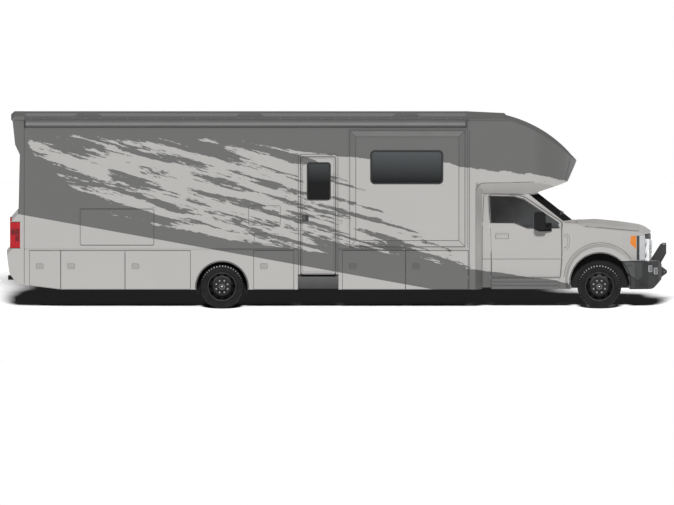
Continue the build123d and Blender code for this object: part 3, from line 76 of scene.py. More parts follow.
SIDES = {"right": -1, "left": 1}
FRONT_AXLE_X, REAR_AXLE_X, WHEEL_Z = 4.538, -1.990, 0.380
HALF_W = 1.270
FULL_TURN = 2 * math.pi
AXIS = 0.0001  # A radius that stands for an axis, so that a turned piece closes
SUNK = 0.004  # How far a piece that lies on a face reaches into it
OUTSIDE = 3.0  # A place beyond the vehicle's sides and roof, where rays start
NEAR_MIDDLE = 0.3  # A face nearer to the centre plane than this isn't an outer face
EDGE_ANGLE = 0.6  # Edges that turn by more than this are rounded
SAME_PLACE = 1e-9  # Points nearer than this are one
INWARD = 0.02  # Share of the way to a plate's middle at which its corners' heights are read


# ---- mesh helpers ----
def add_object(name, bm, material, body="chassis", smooth=False, round_edge=0.0, segments=2):
    """Turns a bmesh into a named piece that rides on a body, its sharp edges rounded."""
    bmesh.ops.recalc_face_normals(bm, faces=bm.faces)
    mesh = bpy.data.meshes.new(name)
    bm.to_mesh(mesh)
    bm.free()
    mesh.materials.append(material)
    for poly in mesh.polygons:
        poly.use_smooth = smooth
    obj = bpy.data.objects.new(name, mesh)
    scene.collection.objects.link(obj)
    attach(obj, body)
    if round_edge:
        bevel = obj.modifiers.new("edge_round", "BEVEL")
        bevel.width = round_edge
        bevel.segments = segments
        bevel.limit_method = "ANGLE"
        bevel.angle_limit = EDGE_ANGLE
    return obj


def loft_rings(bm, rings, closed_loop=False):
    """Skins a list of equal rings of points, and caps its two ends if it has any."""
    loops = [[bm.verts.new(p) for p in ring] for ring in rings]
    count = len(loops[0])
    for a, b in zip(loops, loops[1:] + loops[:1] if closed_loop else loops[1:]):
        for j in range(count):
            k = (j + 1) % count
            bm.faces.new((a[j], a[k], b[k], b[j]))
    if not closed_loop:
        bm.faces.new(list(reversed(loops[0])))
        bm.faces.new(loops[-1])


def add_box(bm, x0, x1, y0, y1, z0, z1):
    """A box between limits."""
    loft_rings(bm, [[(x, y0, z0), (x, y1, z0), (x, y1, z1), (x, y0, z1)] for x in (x0, x1)])


def add_prism(bm, outline, y0, y1):
    """An outline made solid between two Y limits."""
    loft_rings(bm, [[(x, y, z) for x, z in outline] for y in (y0, y1)])


def add_lathe(bm, x, z, y, side, profile, steps):
    """A closed profile of (radius, distance outward from y), turned about the Y axis through x, z."""
    angles = [FULL_TURN * i / steps for i in range(steps)]
    loft_rings(bm, [[(x + r * math.cos(a), y + side * out, z + r * math.sin(a)) for r, out in profile]
                    for a in angles], closed_loop=True)


def add_disc_x(bm, y, z, profile, steps=40):
    """A profile of (radius, x) turned about an axis along X through y, z, closed at both ends."""
    angles = [FULL_TURN * i / steps for i in range(steps)]
    loft_rings(bm, [[(x, y + r * math.cos(a), z + r * math.sin(a)) for a in angles] for r, x in profile])


def add_tube(bm, path, radius, sides=8):
    """A round tube along a path of points."""
    rings = []
    path = [Vector(p) for p in path]
    for i, p in enumerate(path):
        ahead = (path[min(i + 1, len(path) - 1)] - path[max(i - 1, 0)]).normalized()
        across = ahead.cross(Vector((0, 0, 1)))
        if across.length < 0.1:
            across = ahead.cross(Vector((0, 1, 0)))
        across.normalize()
        up = across.cross(ahead)
        angles = [FULL_TURN * k / sides for k in range(sides)]
        rings.append([p + radius * (across * math.cos(a) + up * math.sin(a)) for a in angles])
    loft_rings(bm, rings)


def rectangle(x0, x1, z0, z1):
    """The four corners between limits."""
    return [(x0, z0), (x1, z0), (x1, z1), (x0, z1)]


def arc(cx, cz, r, start, end, n=24):
    """Points of an arc, angles in degrees from +X towards +Z."""
    angles = [math.radians(start + (end - start) * i / n) for i in range(n + 1)]
    return [(cx + r * math.cos(a), cz + r * math.sin(a)) for a in angles]


def rounded(x0, x1, z0, z1, r, n=5):
    """A rectangle with round corners."""
    corners = ((x1 - r, z1 - r, 0), (x0 + r, z1 - r, 90), (x0 + r, z0 + r, 180), (x1 - r, z0 + r, 270))
    return [point for cx, cz, start in corners for point in arc(cx, cz, r, start, start + 90, n)]


def middle(points):
    """The mean of an outline's points."""
    return sum(x for x, z in points) / len(points), sum(z for x, z in points) / len(points)


def refined(points, step, closed):
    """A line with its long spans split, so that a strip can follow a curved panel."""
    points = list(points)
    out = []
    for (xa, za), (xb, zb) in zip(points, points[1:] + points[:1] if closed else points[1:]):
        parts = max(1, math.ceil(math.hypot(xb - xa, zb - za) / step))
        out += [(xa + (xb - xa) * i / parts, za + (zb - za) * i / parts) for i in range(parts)]
    return out if closed else out + points[-1:]


def clip_x(outline, limit, way):
    """The part of an outline ahead of an X limit, or behind it where way is -1."""
    out = []
    for (xa, za), (xb, zb) in zip(outline, outline[1:] + outline[:1]):
        kept = way * xa >= way * limit
        if kept:
            out.append((xa, za))
        if kept != (way * xb >= way * limit):
            out.append((limit, za + (limit - xa) / (xb - xa) * (zb - za)))
    return out


trees = {}


def ray_hit(nodes, start, way):
    """Where a ray first meets a group of CAD nodes, or None."""
    if nodes not in trees:
        verts, polys = [], []
        for node in nodes:
            mesh = frame["nodes"][node].data
            first = len(verts)
            verts += [v.co.copy() for v in mesh.vertices]
            polys += [[first + v for v in p.vertices] for p in mesh.polygons]
        trees[nodes] = BVHTree.FromPolygons(verts, polys)
    return trees[nodes].ray_cast(Vector(start), Vector(way))[0]


def surface_y(nodes, side, x, z, default):
    """How far out a group of CAD nodes reaches on one side at x, z."""
    hit = ray_hit(nodes, (x, side * OUTSIDE, z), (0, -side, 0))
    return default if hit is None or side * hit.y < NEAR_MIDDLE else side * hit.y


def add_strip(bm, side, points, width, proud, nodes, closed, step, flat):
    """A thin raised strip along a line on the outer face of CAD nodes, narrower at its top by flat."""
    line = refined(points, step, closed)
    rings = []
    y = HALF_W
    for i, (x, z) in enumerate(line):
        before = line[i - 1] if closed or i else line[0]
        after = line[(i + 1) % len(line)] if closed else line[min(i + 1, len(line) - 1)]
        spans = ((x - before[0], z - before[1]), (after[0] - x, after[1] - z))
        ways = [Vector(span).normalized() for span in spans if math.hypot(*span) > SAME_PLACE]
        mean = sum(ways, Vector((0, 0))).normalized()
        reach = width / max(0.5, mean.dot(ways[0]))
        top = 0.5 * (1 - flat)
        ring = []
        for share, lift in ((-0.5, -SUNK), (0.5, -SUNK), (top, proud), (-top, proud)):
            px, pz = x - mean.y * reach * share, z + mean.x * reach * share
            y = surface_y(nodes, side, px, pz, y)
            ring.append((px, side * (y + lift), pz))
        rings.append(ring)
    loft_rings(bm, rings, closed_loop=closed)


def add_plate(bm, side, outline, proud, nodes, breaks):
    """A thin plate on the outer face of CAD nodes, bent at X breaks."""
    limits = [cad_box[0][0] - 1, *breaks, cad_box[1][0] + 1]
    for x0, x1 in zip(limits, limits[1:]):
        piece = clip_x(clip_x(list(outline), x0, 1), x1, -1)
        if len(piece) < 3:
            continue
        cx, cz = middle(piece)
        middle_y = surface_y(nodes, side, cx, cz, HALF_W)
        heights = [surface_y(nodes, side, x + (cx - x) * INWARD, z + (cz - z) * INWARD, middle_y)
                   for x, z in piece]
        loft_rings(bm, [[(x, side * (y + lift), z) for (x, z), y in zip(piece, heights)]
                        for lift in (-SUNK, proud)])


# ---- material helpers ----
class Value:
    """A number in a net, on which + - * and the methods below add math nodes."""

    def __init__(self, net, socket):
        self.net = net
        self.socket = socket

    def __add__(self, other):
        return self.net.math("ADD", self, other)

    def __sub__(self, other):
        return self.net.math("SUBTRACT", self, other)

    def __rsub__(self, other):
        return self.net.math("SUBTRACT", other, self)

    def __mul__(self, other):
        return self.net.math("MULTIPLY", self, other)

    __radd__ = __add__
    __rmul__ = __mul__

    def clamped(self):
        """Holds the value between 0 and 1."""
        self.socket.node.use_clamp = True
        return self

    def between(self, low, high):
        """0 at or under low, 1 at or over high."""
        return self.net.math("DIVIDE", self - low, high - low).clamped()


class Net:
    """Short ways to add nodes to a tree, which starts empty."""

    def __init__(self, tree):
        self.tree = tree
        tree.nodes.clear()

    def put(self, socket, value):
        """Links a value into an input, or writes a plain one."""
        if isinstance(value, Value):
            value = value.socket
        if isinstance(value, bpy.types.NodeSocket):
            self.tree.links.new(value, socket)
        else:
            socket.default_value = (*value, 1) if socket.type == "RGBA" else value

    def fill(self, node, **inputs):
        """Puts values into a node's inputs, whose names have underscores for spaces."""
        for name, value in inputs.items():
            self.put(node.inputs[name.replace("_", " ")], value)
        return node

    def node(self, kind, **inputs):
        """A new node with values in its inputs."""
        return self.fill(self.tree.nodes.new("ShaderNode" + kind), **inputs)

    def math(self, operation, *terms):
        """The result of a math node."""
        node = self.node("Math")
        node.operation = operation
        for socket, term in zip(node.inputs, terms):
            self.put(socket, term)
        return Value(self, node.outputs[0])

    def mix(self, factor, a, b):
        """A colour between a and b."""
        node = self.node("Mix")
        node.data_type = "RGBA"
        colours = [s for s in node.inputs if s.type == "RGBA"]
        for socket, value in zip((node.inputs[0], *colours), (factor, a, b)):
            self.put(socket, value)
        return [s for s in node.outputs if s.type == "RGBA"][0]

    def scaled(self, colour, factor):
        """A colour times a number."""
        node = self.node("VectorMath")
        node.operation = "SCALE"
        self.put(node.inputs[0], colour)
        return self.fill(node, Scale=factor).outputs[0]

    def ramp(self, factor, *stops):
        """A colour that runs between two stops of (place, colour)."""
        node = self.node("ValToRGB")
        self.put(node.inputs[0], factor)
        for element, (place, colour) in zip(node.color_ramp.elements, stops):
            element.position = place
            element.color = (*colour, 1)
        return node.outputs[0]

    def bump(self, height, distance):
        """A normal that follows a height, 1 of which is a distance in metres."""
        return self.node("Bump", Strength=1.0, Distance=distance, Height=height).outputs[0]

    def upward(self, way=1):
        """0 on upright faces, 1 on those that face up, or down where way is -1."""
        normal = self.node("NewGeometry").outputs["Normal"]
        height = Value(self, self.node("SeparateXYZ", Vector=normal).outputs[2])
        return ((height * way - 0.15) * 3.0).clamped()


class Surface(Net):
    """The net of a new material, with its shader and with x, y and z of the object."""

    def __init__(self, name):
        self.material = bpy.data.materials.new(name)
        self.material.use_nodes = True
        super().__init__(self.material.node_tree)
        self.shader = self.node("BsdfPrincipled")
        self.put(self.node("OutputMaterial").inputs[0], self.shader.outputs[0])
        self.place = self.node("TexCoord").outputs["Object"]
        axes = self.node("SeparateXYZ", Vector=self.place).outputs
        self.x, self.y, self.z = [Value(self, axis) for axis in axes]

    def dress(self, **inputs):
        """Fills the shader's inputs and gives the material."""
        self.fill(self.shader, **inputs)
        return self.material

    def mapped(self, scale=(1, 1, 1), rotation=(0, 0, 0), offset=(0, 0, 0), source=None):
        """Places turned, stretched and moved before a pattern reads them."""
        return self.node("Mapping", Vector=source or self.place, Location=offset, Rotation=rotation,
                         Scale=scale).outputs[0]

    def noise(self, scale, detail=2.0, rough=0.5, vector=None):
        """A cloudy value between 0 and 1."""
        node = self.node("TexNoise", Vector=vector or self.place, Scale=scale, Detail=detail, Roughness=rough)
        return Value(self, node.outputs[0])

    def waves(self, a, b, pitch):
        """Crossed waves of a pitch over two lengths, from -1 to 1."""
        return self.math("SINE", a * (FULL_TURN / pitch)) * self.math("SINE", b * (FULL_TURN / pitch))

    def curve(self, points, low, high, top):
        """A height over x, from a table of x and height, both in metres."""
        node = self.node("FloatCurve", Value=self.x.between(low, high))
        curve = node.mapping.curves[0]
        places = [((x - low) / (high - low), z / top) for x, z in points]
        curve.points[0].location = places[0]
        curve.points[-1].location = places[-1]
        for place in places[1:-1]:
            curve.points.new(*place)
        for point in curve.points:
            point.handle_type = "VECTOR"
        node.mapping.update()
        return Value(self, node.outputs[0]) * top


def grey(level):
    """A colour with three equal parts."""
    return (level, level, level)


def grained(name, colour, rough, spread=0.12, scale=9.0, metallic=0.0, specular=0.5, bump=0.0004,
            bump_scale=220.0, highlight_on_tops=None):
    """A plain surface: mottled colour, or a painted highlight of another colour on faces that look up, uneven
    gloss and a fine grain.
    """
    net = Surface(name)
    low = tuple(c * (1 - spread) for c in colour)
    high = tuple(min(1, c * (1 + spread)) for c in colour)
    cloud = net.noise(scale, 4)
    # Where a highlight colour is given, faces that look up take it: a painted highlight
    shown = net.mix(net.upward(), colour, highlight_on_tops) if highlight_on_tops else net.ramp(cloud, (0.3, low), (0.7, high))
    return net.dress(Base_Color=shown,
                     Roughness=cloud * 0.08 + (rough - 0.04),
                     Normal=net.bump(net.noise(bump_scale, 2), bump),
                     Metallic=metallic, Specular_IOR_Level=specular)


# ---- paint and livery ----
LIGHT_PAINT = (0.470, 0.460, 0.447)
DARK_PAINT = (0.136, 0.136, 0.134)
LIVERY_X = (-5.75, 5.75)
LIVERY_TOP = 3.6
# Lower edge of the dark upper field, over X
FIELD_EDGE = (
    (-5.75, 3.02), (-5.415, 3.07), (-4.2, 3.02), (-1.85, 2.93), (-0.784, 2.75), (0.028, 2.652), (0.571, 2.60),
    (1.832, 2.545), (1.955, 2.53), (2.093, 2.465), (2.370, 2.435), (2.543, 2.425), (2.733, 2.384),
    (2.872, 2.389), (3.242, 2.329), (3.304, 2.353), (3.598, 2.301), (3.979, 2.197), (5.75, 2.197),
)
# Upper edge of the dark sweeping band, over X
BAND_EDGE = (
    (-5.75, 3.30), (-5.42, 3.05), (-5.27, 2.70), (-4.46, 1.99), (-3.98, 1.66), (-3.58, 1.40), (-2.11, 1.223),
    (-0.409, 0.992), (0.623, 0.882), (1.176, 0.813), (1.955, 0.744), (2.716, 0.623), (3.598, 0.51),
    (4.03, 0.436), (4.12, 0.05), (5.75, 0.0),
)
# The band's lower edge is straight: its fall over X and its height at X = 0
BAND_FALL, BAND_FOOT = -0.18153, 0.6433
# Below this line the torn streaks cross the light field
STREAK_TOP = (
    (-5.75, 3.6), (-1.2, 3.6), (-0.75, 2.78), (0.0, 2.36), (0.5, 2.02), (1.2, 1.47), (2.0, 0.98),
    (2.45, 0.62), (3.0, 0.0), (5.75, 0.0),
)
STREAK_SLANT = math.radians(-15.5)
EDGE_SHARP = 160.0  # How fast a border turns from one colour to the other, per metre


def livery(net):
    """Two-tone paint with a sweeping band and torn streaks, laid out over X and Z of the vehicle."""
    slant = net.mapped(rotation=(0, STREAK_SLANT, 0))
    torn = net.noise(1.9, 8, 0.62, net.mapped((0.42, 0.3, 4.2), source=slant))
    jag = net.noise(2.2, 5, 0.7, net.mapped((2.2, 0.3, 9.0), offset=(3.1, 0, 1.7), source=slant)) - 0.5
    fleck = net.noise(1.6, 4, 0.6, net.mapped((5.5, 0.3, 26.0), offset=(1.3, 0, 5.2), source=slant)) - 0.5
    field, band, streak_top = [net.curve(edge, *LIVERY_X, LIVERY_TOP)
                               for edge in (FIELD_EDGE, BAND_EDGE, STREAK_TOP)]
    inside = net.math("MINIMUM", field - net.z + jag * 0.10, net.z - band + jag * 0.10)
    depth = (inside * 3.2).clamped()
    fade = ((net.x + 5.5) * 0.35).clamped()
    clean = ((net.z - (streak_top + jag * 0.6)) * 4.0).clamped()
    score = torn - 0.60 + depth * 0.085 + fade * 0.055 + jag * 0.20 + fleck * 0.17 + clean
    streaks = (score * 120.0).clamped() * (inside * EDGE_SHARP).clamped()
    below = ((net.x * BAND_FALL + BAND_FOOT - net.z) * EDGE_SHARP).clamped()
    return net.mix(net.math("MAXIMUM", streaks, below), DARK_PAINT, LIGHT_PAINT)


def paint_material(name):
    """Body paint in the livery, matt on faces that look up, with painted light that makes faces that look down
    paler.
    """
    net = Surface(name)
    flake = net.noise(900.0, 1) * 0.03 + 0.985
    # Painted light: faces that look down are made up to 40 percent paler, in place of light from below
    tone = (net.noise(1.1, 3) * 0.06 + 0.97) * flake * (net.upward(-1) * 0.40 + 1.0)
    weathered = net.upward()
    return net.dress(Base_Color=net.scaled(livery(net), tone),
                     Roughness=net.noise(3.0, 3) * 0.12 + 0.40 + weathered * 0.3,
                     Normal=net.bump(net.noise(60.0, 2), 0.0003),
                     Specular_IOR_Level=(1.0 - weathered) * 0.22)


def edged_material(name, centre, reach, rough):
    """One colour over the middle of a deck, and the livery beyond a distance from the centre plane."""
    net = Surface(name)
    out = ((net.math("ABSOLUTE", net.y) - reach) * 400.0).clamped()
    cloud = net.noise(2.5, 4)
    return net.dress(Base_Color=net.scaled(net.mix(out, centre, livery(net)), cloud * 0.12 + 0.94),
                     Roughness=cloud * 0.1 + rough,
                     Normal=net.bump(net.noise(90.0, 2), 0.0008),
                     Specular_IOR_Level=0.0)


def glass_material(name, z_low, z_high, low, high, alpha, specular):
    """Dark tinted glass with a painted reflection, from one colour at its foot to another at its top."""
    net = Surface(name)
    # The grading over height is a painted reflection
    share = net.z.between(z_low, z_high) + (net.noise(1.4, 2) - 0.5) * 0.10
    return net.dress(Base_Color=net.ramp(share, (0.05, low), (0.95, high)),
                     Roughness=net.noise(5.0, 2) * 0.05 + 0.07,
                     Alpha=alpha, Specular_IOR_Level=specular)


def cab_glass_material(name, alpha, specular):
    """Tinted cab glass with a painted reflection, greyer towards the nose and towards its lower edge."""
    net = Surface(name)
    # The grading over x and z is a painted reflection
    share = (net.x - 2.9 + (1.75 - net.z) * 0.9).clamped() + (net.noise(1.4, 2) - 0.5) * 0.08
    dark, pale = (0.008, 0.0078, 0.0078), (0.072, 0.074, 0.077)
    return net.dress(Base_Color=net.ramp(share, (0.0, dark), (0.95, pale)),
                     Roughness=net.noise(5.0, 2) * 0.05 + 0.10,
                     Alpha=alpha, Specular_IOR_Level=specular)


def lens_material(name, colour, pitch):
    """A ribbed lamp lens: small prisms in its bump, deeper colour between them."""
    net = Surface(name)
    cells = net.waves(net.z, net.x + net.y, pitch)
    dark = tuple(c * 0.72 for c in colour)
    return net.dress(Base_Color=net.ramp(cells * 0.5 + 0.5, (0.15, dark), (0.85, colour)),
                     Roughness=net.noise(30.0, 2) * 0.06 + 0.22,
                     Normal=net.bump(cells, 0.002), Specular_IOR_Level=0.2)


def fabric_material(name, colour):
    """Woven seat cloth."""
    net = Surface(name)
    weave = net.waves(net.x + net.z, net.y + net.z, 0.006)
    share = weave * 0.3 + 0.5
    mottled = share * (net.noise(40.0, 3) * 0.6 + 0.7)
    dark = tuple(c * 0.55 for c in colour)
    return net.dress(Base_Color=net.ramp(mottled, (0.1, dark), (0.8, colour)),
                     Roughness=share * 0.1 + 0.82,
                     Normal=net.bump(weave, 0.0008), Specular_IOR_Level=0.2)


def step_material(name):
    """Step panel: dark below, greyer towards its top, with a fine grip grain."""
    net = Surface(name)
    share = net.z.between(0.34, 0.56) + (net.noise(20.0, 3) - 0.5) * 0.12
    return net.dress(Base_Color=net.ramp(share, (0.02, grey(0.007)), (0.98, grey(0.066))),
                     Roughness=net.noise(9.0, 2) * 0.1 + 0.5,
                     Normal=net.bump(net.noise(260.0, 2), 0.001))


paint = paint_material("body_paint")
glass_house = glass_material("house_glass", 2.16, 2.76, (0.011, 0.011, 0.0115), (0.096, 0.106, 0.110),
                             0.96, 0.14)
glass_cab = cab_glass_material("cab_glass", 0.93, 0.10)
glass_screen = glass_material("screen_glass", 1.50, 1.97, (0.020, 0.021, 0.022), grey(0.014), 0.95, 0.0)
rubber = grained("tyre_rubber", (0.019, 0.0188, 0.0195), 0.85, 0.25, 14, specular=0.12, bump=0.0006)
# Black rim paint, with a painted highlight in dark grey on faces that look up
rim_black = grained("rim_black", (0.012, 0.012, 0.0125), 0.42, 0.25, 8, specular=0.14,
                    highlight_on_tops=(0.110, 0.110, 0.115))
frame_black = grained("frame_black", (0.014, 0.014, 0.0145), 0.60, 0.3, 6, specular=0.2)
seam_black = grained("seam_rubber", grey(0.080), 0.75, 0.2, 12, specular=0.15)
gasket = grained("window_gasket", (0.0045, 0.0045, 0.0048), 0.45, 0.2, 20, specular=0.35)
bumper_coat = grained("bumper_coat", (0.026, 0.0265, 0.0265), 0.55, 0.25, 5, specular=0.3, bump=0.0008,
                      bump_scale=420)
bumper_face = grained("bumper_face", (0.046, 0.051, 0.050), 0.50, 0.25, 5, specular=0.4, bump=0.0006)
mirror_black = grained("mirror_black", (0.0055, 0.0055, 0.006), 0.5, 0.2, 9, specular=0.12)
chrome = grained("chrome", (0.66, 0.67, 0.68), 0.24, 0.06, 5, metallic=1.0, bump=0.00003, bump_scale=12)
steel = grained("zinc_steel", (0.42, 0.42, 0.43), 0.36, 0.15, 18, metallic=1.0, bump=0.0002)
engine_iron = grained("engine_iron", grey(0.10), 0.65, 0.3, 7, specular=0.3, bump=0.002, bump_scale=120)
tank_plastic = grained("tank_plastic", (0.26, 0.27, 0.28), 0.6, 0.12, 4)
cabin_plastic = grained("cabin_plastic", (0.040, 0.040, 0.042), 0.7, 0.15, 15, specular=0.25, bump=0.0008)
vent_lid = grained("vent_lid", (0.135, 0.135, 0.133), 0.6, 0.2, 9, specular=0.0)
dark_trim = grained("dark_trim", (0.150, 0.150, 0.148), 0.40, 0.06, 3)
# Rubber a little paler than the tyres, with a painted highlight in light grey on faces that look up
worn_rubber_and_top_highlight = grained("worn_rubber_and_top_highlight", (0.024, 0.024, 0.025), 0.8, 0.3, 30, specular=0.15, bump=0.0006,
                      highlight_on_tops=grey(0.55))
rim_edge = grained("rim_edge", (0.085, 0.086, 0.092), 0.35, 0.2, 10, specular=0.4)
mirror_silver = grained("mirror_silver", (0.78, 0.79, 0.80), 0.06, 0.04, 4, metallic=1.0, bump=0.00005)
seat_cloth = fabric_material("seat_cloth", (0.085, 0.083, 0.080))
lamp_red = lens_material("lamp_red", (0.56, 0.012, 0.022), 0.028)
lamp_deep = lens_material("lamp_deep_red", (0.20, 0.012, 0.016), 0.028)
lamp_amber = lens_material("lamp_amber", (1.0, 0.31, 0.046), 0.022)
lamp_clear = lens_material("lamp_clear", (0.62, 0.64, 0.66), 0.030)
lamp_smoked = lens_material("lamp_smoked", (0.22, 0.225, 0.23), 0.030)
step_grey = step_material("step_panel")
roof_skin = edged_material("roof_skin", grey(0.19), 1.195, 0.5)
floor_deck = edged_material("floor_deck", (0.25, 0.17, 0.10), 1.20, 0.45)


def both(*names):
    """Names of nodes that come in a right and a left one."""
    return tuple(f"{name}_{side_name}" for name in names for side_name in SIDES)


BAY_WALLS = ("bay_boxes", "bay_boxes_right_rear")
NODE_MATERIALS = (
    (frame_black, ("chassis_frame", "front_axle", "rear_axle") + both("knuckle")),
    (steel, ("exhaust_pipe",)),
    (rubber, both("front_tyre", "rear_tyres")),
    (rim_black, both("front_rim", "rear_rims")),
    (engine_iron, ("engine_block", "radiator")),
    (tank_plastic, ("water_tanks",)),
    (paint, BAY_WALLS + both("slide_out", "cab_door", "bay_door") + (
        "side_walls", "side_hatch", "rear_cap", "front_cap", "front_wings", "hood", "cab_shell", "entry_door",
        "running_boards")),
    (floor_deck, ("house_floor",)),
    (step_grey, ("entry_steps",)),
    (roof_skin, ("roof",)),
    (dark_trim, ("awning_case",)),
    (glass_house, ("entry_door_glass",) + both("slide_out_glass")),
    (glass_cab, both("cab_door_glass")),
    (glass_screen, ("windscreen",)),
    (lamp_red, ("tail_lamps",)),
    (lamp_clear, ("head_lamps",)),
    (bumper_coat, ("front_bumper",)),
    (chrome, ("grille",)),
    (mirror_black, both("door_mirror")),
    (cabin_plastic, ("dashboard", "steering_wheel")),
    (seat_cloth, ("cab_seats",)),
)
for material, names in NODE_MATERIALS:
    for node_name, node in frame["nodes"].items():
        # A bay door's name goes on with its number
        if node_name in names or node_name.rstrip("_0123456789") in names:
            node.data.materials.clear()
            node.data.materials.append(material)


# ---- pieces laid on CAD faces ----
def seams(name, side, paths, nodes, width=0.012, proud=0.0015, material=seam_black, closed=False,
          step=0.25, flat=0.4, round_edge=0.0):
    """Strips along several lines on CAD nodes, as one piece on the first node's body."""
    bm = bmesh.new()
    for points in paths:
        add_strip(bm, side, points, width, proud, nodes, closed, step, flat)
    add_object(name, bm, material, frame["nodes"][nodes[0]]["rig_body"], round_edge=round_edge)


def plates(name, side, outlines, nodes, proud, material, breaks=(), round_edge=0.0, segments=2):
    """Plates in several outlines on CAD nodes, as one piece on the first node's body."""
    bm = bmesh.new()
    for outline in outlines:
        add_plate(bm, side, outline, proud, nodes, breaks)
    add_object(name, bm, material, frame["nodes"][nodes[0]]["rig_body"], False, round_edge, segments)


def boxes(name, limits, material, body="chassis", round_edge=0.0, segments=2):
    """Boxes between limits as one piece."""
    bm = bmesh.new()
    for box in limits:
        add_box(bm, *box)
    add_object(name, bm, material, body, False, round_edge, segments)


def mirrored(make):
    """Makes the same pieces on both sides of the body."""
    for side_name, side in SIDES.items():
        make(side_name, side)


# ---- the living body ----
WALL = ("side_walls", "roof", "rear_cap", "front_cap", "house_floor") + BAY_WALLS
REAR_SEAM_X, FRONT_SEAM_X = -5.411, 2.275
ROOF_SEAM_Z, WALL_TOP, CAP_FOOT = 3.261, 3.30, 0.345


def house_seams(side_name, side):
    """Seams where roof, caps and walls meet, and the folds of the front cap."""
    roof_line = [(x, ROOF_SEAM_Z) for x in (-5.575, -4, 0, 2.27)] + [(2.95, 3.259)]
    seams(f"roof_edge_seam_{side_name}", side, [roof_line], WALL, 0.014, step=0.5)
    uprights = ((REAR_SEAM_X, 0.43), (FRONT_SEAM_X - 0.012, 1.06), (FRONT_SEAM_X + 0.018, CAP_FOOT))
    seams(f"cap_seams_{side_name}", side, [[(x, low), (x, WALL_TOP)] for x, low in uprights], WALL)
    crease = ([(2.398, CAP_FOOT), (2.398, 2.02)] + arc(2.556, 2.02, 0.158, 180, 96, 8)
              + [(2.75, 2.183), (3.40, 2.199), (3.80, 2.203)])
    seams(f"cap_crease_{side_name}", side, [crease], ("front_cap",), 0.013)
    nose = ((4.036, 2.600), (4.010, 2.48), (3.985, 2.36), (3.955, 2.235))
    seams(f"nose_seam_{side_name}", side, [nose], ("front_cap",), 0.016, step=0.05)


mirrored(house_seams)

BAYS = {
    "right": ((-5.323, -4.780), (-4.780, -3.668), (-3.668, -2.534), (-1.446, -0.746), (0.092, 1.187),
              (1.187, 2.270)),
    "left": ((-4.780, -3.668), (-3.668, -2.534), (0.092, 1.187)),
}
BAY_TOP, LATCH_Z = 1.012, 0.739
SKIRT_LOW, SKIRT_RISE = 0.337, 0.068  # The skirt's lower edge, and its rise over the rearmost bay


def skirt_low(x):
    """Height of the skirt's lower edge at x."""
    tail_x, rise_x = BAYS["right"][0]
    return SKIRT_LOW + max(0.0, (rise_x - x) / (rise_x - tail_x)) * SKIRT_RISE


def bay_door_trim(door, side, rear_x, front_x):
    """Edge seal and twin paddle latch of a storage bay door."""
    inset = 0.0042
    x0, x1, top = rear_x + inset, front_x - inset, BAY_TOP - inset
    edge = [(x0, skirt_low(rear_x) + inset), (x1, skirt_low(front_x) + inset), (x1, top), (x0, top)]
    cx, cz = rear_x + 0.181, LATCH_Z
    halves = (cx - 0.026, cx + 0.026)
    rim = rounded(cx - 0.058, cx + 0.058, cz - 0.044, cz + 0.044, 0.012, 3)
    cells = [rounded(x - 0.018, x + 0.018, cz - 0.024, cz + 0.024, 0.006, 3) for x in halves]
    for name, paths, width, proud in (("seal", [edge], 0.006, 0.0015), ("latch_rim", [rim], 0.006, 0.003),
                                      ("latch_cells", cells, 0.004, 0.004)):
        seams(f"{door}_{name}", side, paths, (door,), width, proud, closed=True, step=0.4)
    paddles = [rectangle(x - 0.013, x + 0.013, cz - 0.019, cz + 0.019) for x in halves]
    plates(f"{door}_latch_paddles", side, paddles, (door,), 0.0035, paint, round_edge=0.002)


for side_name, side in SIDES.items():
    for number, (rear_x, front_x) in enumerate(BAYS[side_name], 1):
        bay_door_trim(f"bay_door_{side_name}_{number}", side, rear_x, front_x)

# Edge lines of the fixed skirt panels
for side_name, edges in (("right", (-2.534, -1.446, -0.746, 0.092)),
                         ("left", (-4.780, -2.534, -1.446, 0.092, 1.187, 2.262))):
    uprights = [((x, skirt_low(x) + 0.01), (x, 1.005)) for x in edges]
    seams(f"skirt_edges_{side_name}", SIDES[side_name], uprights, BAY_WALLS, 0.008)

seams("side_hatch_seal", -1, [rounded(-4.440, -3.172, 1.108, 1.724, 0.022, 4)], ("side_hatch",), 0.008, 0.002,
      closed=True, step=0.5)
for k, (x0, x1, z0, z1) in enumerate(((-1.535, -0.976, 1.445, 1.791), (-1.436, -1.012, 1.116, 1.304))):
    seams(f"service_panel_rim_{k}", -1, [rounded(x0 + 0.006, x1 - 0.006, z0 + 0.006, z1 - 0.006, 0.014, 3)],
          ("side_walls",), 0.009, 0.002, closed=True, step=0.4)
    plates(f"service_panel_screws_{k}", -1, [arc(x, z, 0.006, 0, 324, 9) for x in (x0 + 0.03, x1 - 0.03)
                                             for z in (z0 + 0.03, z1 - 0.03)],
           ("side_walls",), 0.003, steel)


# ---- windows, slide-out rooms, entry door ----
def window_frame(name, side, x0, x1, z0, z1, r, node, width=0.034):
    """A rounded black frame round a window opening."""
    grow = width / 2 - 0.008
    line = rounded(x0 - grow, x1 + grow, z0 - grow, z1 + grow, r + grow + 0.004, 7)
    seams(name, side, [line], (node,), width, 0.010, gasket, True, 0.6, flat=0.35, round_edge=0.003)


SLIDES = {
    # x limits of the room, then those of its windows
    "right": ((0.213, 2.221), ((0.598, 1.815),)),
    "left": ((-3.300, 1.300), ((-2.892, -2.008), (0.048, 0.932))),
}
SLIDE_Z, WINDOW_Z = (1.073, 3.092), (2.183, 2.727)
SLIDE_BORDER = 0.112
for side_name, side in SIDES.items():
    for k, (x0, x1) in enumerate(SLIDES[side_name][1]):
        window_frame(f"slide_window_frame_{side_name}_{k}", side, x0, x1, *WINDOW_Z, 0.052,
                     f"slide_out_{side_name}")
window_frame("entry_window_frame", -1, -0.503, -0.127, 1.897, 2.520, 0.030, "entry_door", 0.030)


